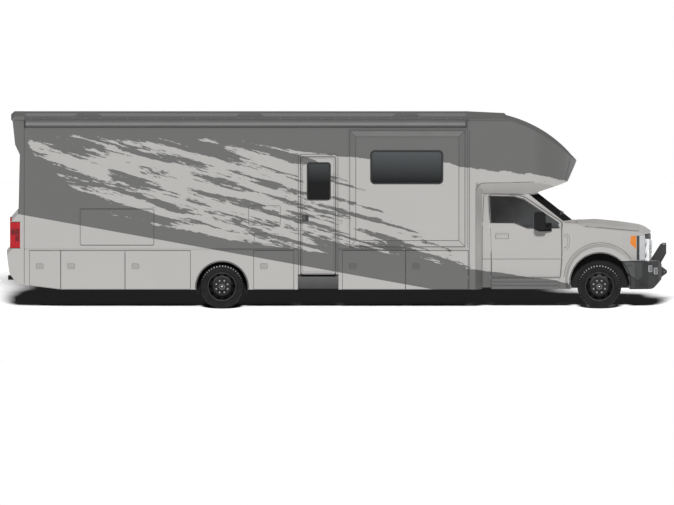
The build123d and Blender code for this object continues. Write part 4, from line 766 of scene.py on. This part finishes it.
def slide_trim(side_name, side):
    """Edge, inner line, mitred corners and rubber seal of a slide-out room's face."""
    (x0, x1), (z0, z1) = SLIDES[side_name][0], SLIDE_Z
    node = (f"slide_out_{side_name}",)

    def inset(by):
        """The face's outline drawn in by a distance."""
        return rectangle(x0 + by, x1 - by, z0 + by, z1 - by)

    for name, by in (("slide_edge", 0.008), ("slide_inner_line", SLIDE_BORDER)):
        seams(f"{name}_{side_name}", side, [inset(by)], node, 0.012, 0.002, closed=True, step=1.0)
    mitres = zip(inset(0.012), inset(SLIDE_BORDER))
    seams(f"slide_mitres_{side_name}", side, mitres, node, 0.010, step=0.03)
    y0, y1 = side * (HALF_W + 0.0015), side * (HALF_W + 0.0055)
    (ax, az), _, (dx, dz), _ = inset(0.012)
    (bx, bz), _, (cx, cz), _ = inset(0.050)
    boxes(f"slide_seal_{side_name}", [(ax, dx, y0, y1, az, bz), (ax, dx, y0, y1, cz, dz),
                                      (ax, bx, y0, y1, bz, cz), (cx, dx, y0, y1, bz, cz)],
          gasket, f"slide_room_{side_name}")


mirrored(slide_trim)

door_case = ([(-0.668, 0.610), (-0.668, 2.615)] + arc(-0.608, 2.615, 0.060, 180, 90, 6)
             + arc(-0.044, 2.615, 0.060, 90, 0, 6) + [(0.016, 0.610)])
seams("entry_trim_line", -1, [door_case], ("side_walls",), step=0.8)
LEAF = ("entry_door",)
seams("entry_leaf_seal", -1, [rounded(-0.621, -0.031, 0.612, 2.627, 0.045)], LEAF, 0.011, 0.002,
      closed=True, step=0.8)
seams("entry_leaf_rib", -1, [rounded(-0.596, -0.056, 0.640, 2.602, 0.035)], LEAF, 0.006,
      closed=True, step=0.8)
plates("entry_lock_plate", -1, [rounded(-0.604, -0.492, 1.516, 1.624, 0.012, 4)], LEAF, 0.006,
       cabin_plastic, round_edge=0.003)
plates("entry_lock_paddle", -1, [rounded(-0.590, -0.545, 1.528, 1.612, 0.010, 4)], LEAF, 0.011,
       bumper_face, round_edge=0.004)

# ---- awning, roof and tail ----
AWNING_Y = -HALF_W - 0.088
SCREW_X, SCREW_Z, SCREW_PITCH, SCREWS = -5.3, 3.298, 0.24, 32
boxes("awning_end_caps", [(x, x + 0.022, AWNING_Y - 0.0005, -HALF_W, 3.150, 3.259) for x in (-5.408, 2.221)],
      cabin_plastic, round_edge=0.004)
seams("awning_lines", -1, [[(x, z) for x in (-5.38, -1.6, 2.215)] for z in (3.166, 3.243)],
      ("awning_case",), 0.010, step=1.5)
boxes("awning_latches", [(x - 0.05, x + 0.05, AWNING_Y - 0.0005, AWNING_Y + 0.01, 3.185, 3.225)
                         for x in (-4.6, -1.6, 1.4)], dark_trim, round_edge=0.004)
for k, x in enumerate((-4.300, -1.500, 1.200)):
    boxes(f"roof_vent_lid_{k}", [(x - half, x + half, -half, half, z0, z1)
                                 for half, z0, z1 in ((0.21, 3.3005, 3.3075), (0.19, 3.3075, 3.334))],
          vent_lid, round_edge=0.010, segments=3)
bm = bmesh.new()
for side in (-1, 1):
    for n in range(SCREWS):
        add_lathe(bm, SCREW_X + n * SCREW_PITCH, SCREW_Z, side * HALF_W, side,
                  [(AXIS, 0), (0.005, 0), (0.004, 0.003), (AXIS, 0.003)], 8)
add_object("roof_rail_screws", bm, steel)

LAMP_X, LAMP_Z = (-5.653, -5.482), (1.052, 1.505)
LAMP_ROWS, LAMP_GAP = 4, 0.010
DEEP_CELLS = {(1, 1), (2, 0), (2, 1)}  # Row and column of the darker cells


def tail_lamp(side_name, side):
    """Square cells of a tail lamp on its side and rear faces, and the rim round them."""
    tall = (LAMP_Z[1] - LAMP_Z[0] - LAMP_GAP) / LAMP_ROWS
    lows = [LAMP_Z[0] + LAMP_GAP + row * tall for row in range(LAMP_ROWS)]
    cells = {"deep": [], "bright": []}
    for row, z in enumerate(lows):
        for col in range(2):
            x = LAMP_X[0] + 0.012 + col * 0.076
            kind = "deep" if (row, col) in DEEP_CELLS else "bright"
            cells[kind].append(rectangle(x, x + 0.070, z, z + tall - LAMP_GAP))
    for kind, material in (("deep", lamp_deep), ("bright", lamp_red)):
        plates(f"tail_lens_{kind}_{side_name}", side, cells[kind], ("tail_lamps",), 0.003, material,
               round_edge=0.004)
    boxes(f"tail_lens_rear_{side_name}",
          [(LAMP_X[0] - 0.004, LAMP_X[0] + 0.01, side * y, side * (y - 0.074), z, z + tall - LAMP_GAP)
           for z in lows for y in (HALF_W - 0.014, HALF_W - 0.096)], lamp_red, round_edge=0.004)
    y0, y1 = side * (HALF_W - 0.186), side * (HALF_W + 0.0015)
    boxes(f"tail_lamp_rim_{side_name}", [(LAMP_X[0] - 0.001, LAMP_X[1] + 0.006, y0, y1, z, z + 0.010)
                                         for z in (LAMP_Z[0] - 0.006, LAMP_Z[1] - 0.004)], gasket)


mirrored(tail_lamp)

# Folds of the rear cap: x, z
TAIL_FOLDS = ((-5.709, 0.938), (-5.631, 1.026), (-5.626, 1.522), (-5.510, 1.652), (-5.486, 2.668),
              (-5.569, 2.844))
boxes("tail_fold_lines", [(max(x - 0.0012, TAIL_FOLDS[0][0]), x + 0.004, -1.24, 1.24, z - 0.005, z + 0.005)
                          for x, z in TAIL_FOLDS], seam_black)


# ---- cab and wheel arches ----
CAB_DOOR = (
    (2.676, 0.540), (2.676, 0.813), (2.651, 1.470), (2.616, 1.924), (2.650, 1.963), (2.906, 1.963),
    (3.158, 1.947), (3.258, 1.912), (3.876, 1.496), (3.881, 1.367), (3.884, 0.848), (3.859, 0.540),
)
CAB_WINDOW = (
    (2.640, 1.935), (3.055, 1.930), (3.235, 1.880), (3.830, 1.478),
    (3.836, 1.393), (3.294, 1.393), (3.071, 1.484), (2.664, 1.484),
)


def grown(points, by):
    """An outline moved outward from its middle, corner by corner."""
    cx, cz = middle(points)
    far = [math.hypot(x - cx, z - cz) for x, z in points]
    return [(x + (x - cx) / d * by, z + (z - cz) / d * by) for (x, z), d in zip(points, far)]


def cab_lines(side_name, side):
    """Seams, gasket and handle of a cab door, and the seams of the cab and the hood round it."""
    door = f"cab_door_{side_name}"
    seams(f"{door}_seal", side, [CAB_DOOR], (door,), closed=True, step=0.12)
    seams(f"{door}_window_gasket", side, [grown(CAB_WINDOW, 0.010)], (door,), 0.016, 0.003, gasket,
          closed=True, step=0.12)
    seams(f"{door}_crease", side, [((2.686, 0.855), (3.872, 0.855))], (door,), 0.011)
    seams(f"{door}_handle_rim", side, [rounded(2.745, 2.964, 1.208, 1.290, 0.014, 4)], (door,), 0.009,
          0.003, closed=True, step=0.06)
    plates(f"{door}_handle_grip", side, [rounded(2.765, 2.944, 1.228, 1.268, 0.012, 4)], (door,), 0.007,
           paint, round_edge=0.005, segments=3)
    outline = ([(2.512, 0.40), (2.512, 1.332), (2.536, 1.886)] + arc(2.616, 1.905, 0.080, 170, 95, 6)
               + [(2.75, 1.982), (2.906, 1.981), (3.14, 1.972), (3.25, 1.962)])
    board = (
        ((2.690, 0.460), (3.820, 0.460)), ((2.690, 0.398), (3.820, 0.398)), ((2.676, 0.345), (2.676, 0.512)),
    )
    vents = (
        ((3.908, 1.269), (3.990, 1.277), (4.022, 1.246), (4.027, 1.110), (3.985, 1.022), (3.908, 1.007)),
        ((3.925, 1.240), (3.978, 1.243), (3.990, 1.228), (3.992, 1.116), (3.966, 1.056), (3.925, 1.046)),
    )
    hood = ((4.165, 1.474), (4.296, 1.418), (4.65, 1.387), (5.007, 1.353), (5.225, 1.335), (5.30, 1.300))
    for name, node, paths, width, step in (
            ("cab_outline", "cab_shell", [outline], 0.012, 0.10),
            ("cab_rear_crease", "cab_shell", [((2.44, 0.855), (2.655, 0.855))], 0.011, 0.25),
            ("board_lines", "running_boards", board, 0.011, 0.25),
            ("flare_line", "front_wings", [arc(4.560, 0.500, 0.636, 176, 34, 36)], 0.011, 1),
            ("vent_lines", "front_wings", vents, 0.008, 0.25),
            ("hood_lines", "hood", [hood], 0.012, 0.25)):
        seams(f"{name}_{side_name}", side, paths, (node,), width, step=step)


mirrored(cab_lines)

LINERS = (
    # name, x and z of the middle, radius, inner y, outer y, lower end
    ("front", 4.552, 0.441, 0.516, 0.605, 0.955, 0.34),
    ("rear", REAR_AXLE_X, 0.370, 0.446, 0.600, 1.262, 0.26),
)
LIPS = (
    # name, x and z of the middle, radius, start and end in degrees, CAD nodes
    ("front", 4.552, 0.441, 0.530, 188, -6, ("front_wings",)),
    ("rear", REAR_AXLE_X, 0.370, 0.460, 183, -3, BAY_WALLS),
)


def wheel_arches(side_name, side):
    """Black wheel housings, each a half ring over the wheels and a panel behind it, and the arches' lips."""
    for name, cx, cz, radius, y0, y1, low in LINERS:
        start = math.degrees(math.asin((low - cz) / radius))
        ring, panel = bmesh.new(), bmesh.new()
        add_prism(ring, arc(cx, cz, radius, start, 180 - start, 36)
                  + arc(cx, cz, radius - 0.008, 180 - start, start, 36), side * y0, side * y1)
        add_object(f"{name}_liner_{side_name}", ring, frame_black)
        add_prism(panel, arc(cx, cz, radius - 0.009, start, 180 - start, 24), side * y0, side * (y0 + 0.006))
        add_object(f"{name}_liner_{side_name}_panel", panel, frame_black)
    for name, cx, cz, radius, start, end, nodes in LIPS:
        seams(f"{name}_arch_lip_{side_name}", side, [arc(cx, cz, radius, start, end, 40)], nodes,
              0.016, 0.002, frame_black, step=1)


mirrored(wheel_arches)

# ---- lamps, grille, bumper ----
FRONT_LAMP_PLATES = (
    # name, outline, height, material, rounding
    ("marker_lens", [(5.082, 1.256), (5.176, 1.256), (5.176, 1.016), (5.140, 1.060), (5.072, 1.112)],
     0.004, lamp_amber, 0.004),
    ("lamp_housing", rectangle(5.184, 5.232, 0.832, 1.256), 0.003, bumper_face, 0.003),
    ("lamp_bezel", [(5.238, 0.832), (5.322, 0.832), (5.322, 1.252), (5.238, 1.256)], 0.005, chrome, 0.004),
)
for side_name, side in SIDES.items():
    for name, outline, proud, material, round_edge in FRONT_LAMP_PLATES:
        plates(f"{name}_{side_name}", side, [outline], ("head_lamps",), proud, material,
               (4.950, 5.180, 5.330), round_edge)

# Wires of the mesh behind the grille's bars: how many, the first and the pitch
row_zs = [0.889 + n * 0.0232 for n in range(14)]
column_ys = [-0.583 + n * 0.0242 for n in range(49)]
boxes("grille_mesh", [(5.300, 5.306, -0.585, 0.585, z, z + 0.007) for z in row_zs]
      + [(5.296, 5.301, y, y + 0.006, 0.884, 1.211) for y in column_ys], gasket)
grille_end = [(5.328, 1.190), (5.426, 1.190), (5.428, 1.278), (5.328, 1.278)]
for side_name, side in SIDES.items():
    plates(f"grille_end_{side_name}", side, [grille_end], ("grille",), 0.003, bumper_face, (5.400,), 0.002)
boxes("grille_bar_trim", [(5.449, 5.456, -0.580, 0.580, z - 0.007, z + 0.007)
                          for z in (0.936, 0.992, 1.048, 1.104, 1.160)], chrome, round_edge=0.003)


def head_lamp_face(side_name, side):
    """Two lamps one above the other: a bezel, a chrome bowl and a clear dome each."""
    bezel, bowl, dome = bmesh.new(), bmesh.new(), bmesh.new()
    y0, y1 = side * 0.655, side * 0.855
    for z0, z1 in ((0.862, 1.026), (1.046, 1.222)):
        y, z, r = (y0 + y1) / 2, (z0 + z1) / 2, (z1 - z0) / 2 - 0.012
        add_box(bezel, 5.326, 5.3315, y0, y1, z0, z1)
        add_disc_x(bowl, y, z, [(r + 0.007, 5.330), (r + 0.007, 5.337), (r + 0.002, 5.339),
                                (r - 0.004, 5.334), (r * 0.4, 5.3325)])
        add_disc_x(dome, y, z, [(r * 0.62, 5.332), (r * 0.60, 5.345), (r * 0.42, 5.354), (r * 0.12, 5.359)])
    add_object(f"lamp_bezel_front_{side_name}", bezel, bumper_face, round_edge=0.004)
    add_object(f"lamp_bowl_{side_name}", bowl, chrome, smooth=True)
    add_object(f"lamp_dome_{side_name}", dome, lamp_clear, smooth=True)


def bumper_trim(side_name, side):
    """Upper face, fold and bolts of one end of the bumper."""
    node = ("front_bumper",)
    face = [(4.936, 0.806), (5.026, 0.618), (5.200, 0.492), (5.285, 0.560), (5.285, 0.800)]
    plates(f"bumper_upper_face_{side_name}", side, [face], node, 0.003, bumper_face, (5.150,), 0.003)
    fold = ((5.020, 0.610), (5.259, 0.436), (5.462, 0.362))
    seams(f"bumper_fold_{side_name}", side, [fold], node, 0.014, material=gasket, step=0.06)
    plates(f"bumper_bolts_{side_name}", side, [arc(x, 0.745, 0.013, 0, 324, 9) for x in (5.04, 5.09)],
           node, 0.007, gasket, round_edge=0.002)


mirrored(head_lamp_face)
mirrored(bumper_trim)

# Lamp lenses on the bumper's slanted corners, at shares of the corner's run and at heights
CORNER_X, CORNER_Y, CORNER_RUN_X, CORNER_RUN_Y = 5.380, 1.000, 0.180, -0.240
bm = bmesh.new()
for side in (-1, 1):
    along = Vector((CORNER_RUN_X, side * CORNER_RUN_Y, 0)).normalized()
    out = Vector((-CORNER_RUN_Y, side * CORNER_RUN_X, 0)).normalized()
    for share, z in ((0.2, 0.686), (0.72, 0.642)):
        base = Vector((CORNER_X + share * CORNER_RUN_X, side * (CORNER_Y + share * CORNER_RUN_Y), z))
        for half_u, half_v, depth in ((0.040, 0.048, 0.014), (0.030, 0.038, 0.017)):
            corners = rectangle(-half_u, half_u, -half_v, half_v)
            loft_rings(bm, [[base + out * d + along * u + Vector((0, 0, v)) for u, v in corners]
                            for d in (0.010, depth)])
add_object("bumper_lamp_lenses", bm, lamp_smoked, round_edge=0.003)
boxes("bumper_vent_slots", [(5.6155, 5.6215, -0.30, 0.30, z, z + 0.016)
                            for z in (0.520, 0.560, 0.600, 0.640)], gasket)

# ---- tyres and wheels ----
TYRE_R = 0.380
TREAD_ROWS = (
    # from y, to y, turn of the row in blocks
    (-0.097, -0.062, 0.0), (-0.056, -0.024, 0.5), (-0.018, 0.018, 0.2), (0.024, 0.056, 0.7),
    (0.062, 0.097, 0.1),
)
SHOULDER_Y, SHOULDER_R = 0.09, 0.3705  # Blocks that reach past this y are lower there
BLOCKS = 60
SIDEWALL = (
    # radius, y off the middle
    (0.250, 0.080), (0.256, 0.096), (0.268, 0.100), (0.284, 0.107), (0.300, 0.1105), (0.304, 0.1122),
    (0.320, 0.1122), (0.326, 0.1105), (0.340, 0.1075), (0.352, 0.1035), (0.360, 0.098), (0.366, 0.088),
    (0.367, 0.030),
)
WHEELS = (
    # name, axle x, y of each tyre, y of the outer disc's face and of the hub's end, body, tyres' CAD node
    ("front", FRONT_AXLE_X, (0.985,), 1.041, 1.101, "front_wheel", "front_tyre"),
    ("rear", REAR_AXLE_X, (0.805, 1.075), 1.049, 1.135, "rear_wheels", "rear_tyres"),
)
LUG_CIRCLE, BOLT_CIRCLE, LUGS = 0.106, 0.062, 8
VALVE_ANGLE = 1.9


def on_wheel(cx, r, angle, y):
    """A point of a wheel from its radius and angle."""
    return cx + r * math.cos(angle), y, WHEEL_Z + r * math.sin(angle)


def add_tyre(bm, cx, cy):
    """A tyre with moulded sidewalls and five rows of tread blocks."""
    profile = [(r, -y) for r, y in SIDEWALL] + [(r, y) for r, y in reversed(SIDEWALL)]
    add_lathe(bm, cx, WHEEL_Z, cy, 1, profile, 96)
    pitch = FULL_TURN / BLOCKS
    for y0, y1, turn in TREAD_ROWS:
        for n in range(BLOCKS):
            skew = 0.10 * (1 if n % 2 else -1)
            corners = ((y0, skew, -1), (y0, skew, 1), (y1, -skew, 1), (y1, -skew, -1))
            loft_rings(bm, [[on_wheel(cx, min(r, SHOULDER_R) if abs(y) > SHOULDER_Y else r,
                                      (n + turn + lean + way * half) * pitch, cy + y)
                             for y, lean, way in corners] for r, half in ((0.360, 0.40), (TYRE_R, 0.36))])


def add_shoulder_ribs(bm, cx, cy, side):
    """Short ribs between the tread and the sidewall, three for every four tread blocks."""
    count = BLOCKS * 3 // 4
    pitch = FULL_TURN / count
    for n in range(count):
        loft_rings(bm, [[on_wheel(cx, r, (n + 0.05 + half) * pitch, cy + side * (y + lift))
                         for half, lift in ((-0.19, -0.006), (0.19, -0.006), (0.15, 0.0), (-0.15, 0.0))]
                        for r, y in ((0.3715, 0.0950), (0.346, 0.1085))])


def add_wheel_face(nuts, hub, cx, face_y, hub_y, side):
    """Lug nuts on their washers, the hub's ring, bolts and cap, and the valve of one outer disc."""
    def turned(bm, r, angle, y, profile, steps):
        """A small turned piece at a radius and angle of the wheel."""
        x, y, z = on_wheel(cx, r, angle, y)
        add_lathe(bm, x, z, y, side, profile, steps)

    for n in range(LUGS):
        angle = FULL_TURN * (n + 0.5) / LUGS
        turned(hub, LUG_CIRCLE, angle, face_y, [(AXIS, 0), (0.019, 0), (0.019, 0.004), (AXIS, 0.004)], 12)
        turned(nuts, LUG_CIRCLE, angle, face_y,
               [(AXIS, 0.003), (0.0125, 0.003), (0.0115, 0.022), (0.008, 0.026), (AXIS, 0.026)], 6)
    turned(hub, 0, 0, hub_y, [(0.030, 0), (0.052, 0), (0.049, 0.006), (0.033, 0.006)], 40)
    for n in range(LUGS):
        turned(hub, BOLT_CIRCLE, FULL_TURN * n / LUGS, hub_y,
               [(AXIS, 0), (0.0055, 0), (0.005, 0.004), (AXIS, 0.004)], 6)
    turned(hub, 0, 0, hub_y, [(AXIS, -0.008), (0.022, -0.008), (0.018, 0.003), (AXIS, 0.005)], 20)
    turned(nuts, 0, 0, hub_y, [(AXIS, 0), (0.009, 0), (0.007, 0.007), (AXIS, 0.008)], 12)
    add_tube(nuts, [on_wheel(cx, r, VALVE_ANGLE, face_y - side * deep)
                    for r, deep in ((0.196, 0.040), (0.178, 0.004))], 0.004)


def add_rim_beads(bm, cx, cy, side):
    """Two rolled beads round the outer lip of a rim."""
    for radius, y, thick in ((0.2425, 0.0935, 0.0035), (0.2445, 0.0900, 0.0025)):
        angles = [FULL_TURN * k / 8 for k in range(8)]
        profile = [(radius + thick * math.cos(a), y + thick * math.sin(a)) for a in angles]
        add_lathe(bm, cx, WHEEL_Z, cy, side, profile, 64)


def wheels(side_name, side):
    """Tyres in place of the CAD's plain ones, and the trim of the wheels."""
    for place, cx, tyre_ys, face_y, hub_y, wheel, tyre in WHEELS:
        body = f"{wheel}_{side_name}"
        outer_y = side * tyre_ys[-1]
        tread, ribs, nuts, hub, beads = [bmesh.new() for _ in range(5)]
        for y in tyre_ys:
            add_tyre(tread, cx, side * y)
        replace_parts(add_object(f"{place}_tyre_tread_{side_name}", tread, rubber, body), f"{tyre}_{side_name}")
        add_shoulder_ribs(ribs, cx, outer_y, side)
        # The shoulder ribs carry a painted highlight on their faces that look up
        add_object(f"{place}_shoulder_ribs_{side_name}", ribs, worn_rubber_and_top_highlight, body)
        add_wheel_face(nuts, hub, cx, side * face_y, side * hub_y, side)
        add_object(f"{place}_lug_nuts_{side_name}", nuts, chrome, body)
        add_object(f"{place}_hub_ring_{side_name}", hub, rim_edge, body)
        add_rim_beads(beads, cx, outer_y, side)
        add_object(f"{place}_rim_bead_{side_name}", beads, rim_edge, body, smooth=True)


mirrored(wheels)

# ---- mirrors and wipers ----
for side_name, side in SIDES.items():
    boxes(f"mirror_glass_{side_name}", [(3.4035, 3.4065, side * 1.168, side * 1.372, z0, z1)
                                        for z0, z1 in ((1.410, 1.545), (1.562, 1.630))],
          mirror_silver, f"cab_door_{side_name}", 0.0008)


def over_screen(x, y, lift, at_x=None):
    """A point at x, y above the windscreen, whose height is read there or at another x."""
    return x, y, ray_hit(("windscreen",), (at_x or x, y, OUTSIDE), (0, 0, -1)).z + lift


arms, blades = bmesh.new(), bmesh.new()
BLADE_SPANS = 12
for pivot_y, far_y in ((-0.600, -0.020), (0.060, 0.640)):
    add_tube(arms, [over_screen(3.925, pivot_y, 0.002, 3.905),
                    over_screen(3.905, pivot_y + 0.06, 0.006, 3.895),
                    over_screen(3.870, (pivot_y + far_y) / 2, 0.008)], 0.006)
    shares = [i / BLADE_SPANS for i in range(BLADE_SPANS + 1)]
    line = [(3.868 + 0.004 * math.sin(math.pi * t), pivot_y + (far_y - pivot_y) * t) for t in shares]
    add_tube(blades, [over_screen(x, y, 0.004) for x, y in line], 0.005, 6)
add_object("wiper_arms", arms, mirror_black, smooth=True)
add_object("wiper_blades", blades, gasket)

# ---- cab seats ----
CAB_REAR_X, CAB_FLOOR_Z, DRIVER_Y = 2.420, 0.900, 0.450
# Side outlines, ahead of the cab's rear and above its floor
CUSHION = ((0.452, 0.150), (0.850, 0.150), (0.890, 0.225), (0.858, 0.280), (0.500, 0.252))
BACKREST = ((0.352, 0.225), (0.450, 0.280), (0.358, 0.776), (0.290, 0.800), (0.262, 0.770))
HEADREST = ((0.288, 0.842), (0.352, 0.828), (0.338, 0.945), (0.282, 0.955))
PEDESTAL = ((0.400, 0.004), (0.810, 0.004), (0.850, 0.140), (0.400, 0.140))
PADS = (
    # name, outline, half width, sewn lines off the middle
    ("cushion", CUSHION, 0.248, (-0.155, -0.052, 0.052, 0.155)),
    ("backrest", BACKREST, 0.248, (-0.150, -0.050, 0.050, 0.150)),
    ("headrest", HEADREST, 0.118, ()),
)
PAD_SWELL, SEWN_DEPTH, SEWN_WIDTH = 0.008, 0.010, 0.011
CLOTH_FRAMES = 20


def cab_outline(points):
    """Points of a seat outline as X, Z of the vehicle."""
    return [(CAB_REAR_X + ahead, CAB_FLOOR_Z + height) for ahead, height in points]


def settle(obj):
    """Applies a piece's modifiers to its mesh."""
    graph = bpy.context.evaluated_depsgraph_get()
    mesh = bpy.data.meshes.new_from_object(obj.evaluated_get(graph))
    obj.modifiers.clear()
    obj.data = mesh


def pad(name, outline, mid_y, half, lines):
    """A stuffed seat pad: remeshed, blown up with cloth, then drawn in at its sewn channels."""
    bm = bmesh.new()
    add_prism(bm, cab_outline(outline), mid_y - half, mid_y + half)
    obj = add_object(name, bm, seat_cloth, smooth=True, round_edge=0.024, segments=3)
    remesh = obj.modifiers.new("remesh", "REMESH")
    remesh.mode = "VOXEL"
    remesh.voxel_size = 0.011
    settle(obj)
    start = [v.co.copy() for v in obj.data.vertices]
    cloth = obj.modifiers.new("cloth", "CLOTH")
    cloth.settings.use_pressure = True
    cloth.settings.uniform_pressure_force = 4
    cloth.settings.effector_weights.gravity = 0
    for number in range(CLOTH_FRAMES):
        scene.frame_set(number + 1)
    settle(obj)
    scene.frame_set(1)
    centre = sum(start, Vector()) / len(start)
    for vertex, was in zip(obj.data.vertices, start):
        move = vertex.co - was
        if move.length > PAD_SWELL:
            move *= PAD_SWELL / move.length
        sewn = SEWN_DEPTH * sum(math.exp(-((was.y - mid_y - line) / SEWN_WIDTH) ** 2) for line in lines)
        vertex.co = was + move + (centre - was).normalized() * sewn
    for poly in obj.data.polygons:
        poly.use_smooth = True
    return obj


pedestals, posts = bmesh.new(), bmesh.new()
for side_name, side in SIDES.items():
    mid_y = side * DRIVER_Y
    for kind, outline, half, lines in PADS:
        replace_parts(pad(f"seat_{kind}_{side_name}", outline, mid_y, half, lines), "cab_seats")
    add_prism(pedestals, cab_outline(PEDESTAL), mid_y - 0.215, mid_y + 0.215)
    for y in (mid_y - 0.055, mid_y + 0.055):
        (x0, z0), (x1, z1) = cab_outline(((0.325, 0.775), (0.318, 0.86)))
        add_tube(posts, [(x0, y, z0), (x1, y, z1)], 0.006, 10)
add_object("seat_pedestals", pedestals, cabin_plastic, round_edge=0.012, segments=3)
add_object("headrest_posts", posts, chrome, smooth=True)

# ---- camera, light, floor ----
scene.view_settings.view_transform = "Standard"

VIEW_DOWN = math.radians(2.0)
AIM_Z, CAMERA_BACK, VIEW_WIDTH = 0.977, 25, 11.66
camera_data = bpy.data.cameras.new("camera")
camera_data.type = "ORTHO"
camera_data.ortho_scale = VIEW_WIDTH
camera_data.clip_end = 8 * CAMERA_BACK
camera = bpy.data.objects.new("camera", camera_data)
camera.rotation_euler = (math.pi / 2 - VIEW_DOWN, 0, 0)
aim = Vector((0, -HALF_W, AIM_Z))
camera.location = aim - CAMERA_BACK * Vector((0, math.cos(VIEW_DOWN), -math.sin(VIEW_DOWN)))
scene.collection.objects.link(camera)
scene.camera = camera

FLOOR_HALF = 60.0
floor_mesh = bpy.data.meshes.new("studio_floor")
corners = rectangle(-FLOOR_HALF, FLOOR_HALF, -FLOOR_HALF, FLOOR_HALF)
floor_mesh.from_pydata([(x, y, 0) for x, y in corners], [], [(0, 1, 2, 3)])
floor = bpy.data.objects.new("studio_floor", floor_mesh)
scene.collection.objects.link(floor)
floor_net = Surface("studio_floor")
speck = floor_net.noise(0.8, 3)
unseen, seen = [floor_net.ramp(speck, (0.2, grey(level)), (0.8, grey(level + 0.002)))
                for level in (0.040, 0.066)]
is_camera = floor_net.node("LightPath").outputs["Is Camera Ray"]
floor_mesh.materials.append(floor_net.dress(Base_Color=floor_net.mix(is_camera, unseen, seen), Roughness=1.0,
                                            Specular_IOR_Level=0.0))

# Which objects a lamp lights: the ground sun only the floor, the fills all but the floor
only_floor = bpy.data.collections.new("only_floor")
only_floor.objects.link(floor)
all_but_floor = bpy.data.collections.new("all_but_floor")
all_but_floor.objects.link(floor)
all_but_floor.collection_objects[0].light_linking.link_state = "EXCLUDE"
SUNS = (
    # name, strength, azimuth (0 = from the right side, 90 = from the front), height, softness, what it lights
    ("key_sun", 1.85, 0, 17, 4, None),
    ("ground_sun", 220.0, 0, 13, 5, only_floor),
    ("fill_rear", 1.0, -125, 38, 25, all_but_floor),
    ("fill_front", 1.2, 105, 32, 25, all_but_floor),
    ("fill_left", 1.0, 180, 30, 25, all_but_floor),
)
for name, strength, azimuth, height, softness, lit in SUNS:
    data = bpy.data.lights.new(name, "SUN")
    data.energy = strength
    data.angle = math.radians(softness)
    sun = bpy.data.objects.new(name, data)
    sun.rotation_euler = (math.pi / 2 - math.radians(height), 0, math.radians(azimuth))
    sun.location = (0, 0, 12)
    scene.collection.objects.link(sun)
    if lit:
        sun.light_linking.receiver_collection = lit

world = bpy.data.worlds.new("studio")
scene.world = world
world.use_nodes = True
sky = Net(world.node_tree)
rays = sky.node("LightPath").outputs
direct = sky.math("MAXIMUM", rays["Is Camera Ray"], rays["Is Glossy Ray"])
direct = sky.math("MAXIMUM", direct, rays["Is Transmission Ray"])
blend = sky.node("MixShader")
ambient, white = [sky.node("Background", Color=grey(1), Strength=strength).outputs[0]
                  for strength in (0.22, 1.0)]
for socket, value in zip(blend.inputs, (direct, ambient, white)):
    sky.put(socket, value)
sky.put(sky.node("OutputWorld").inputs[0], blend.outputs[0])
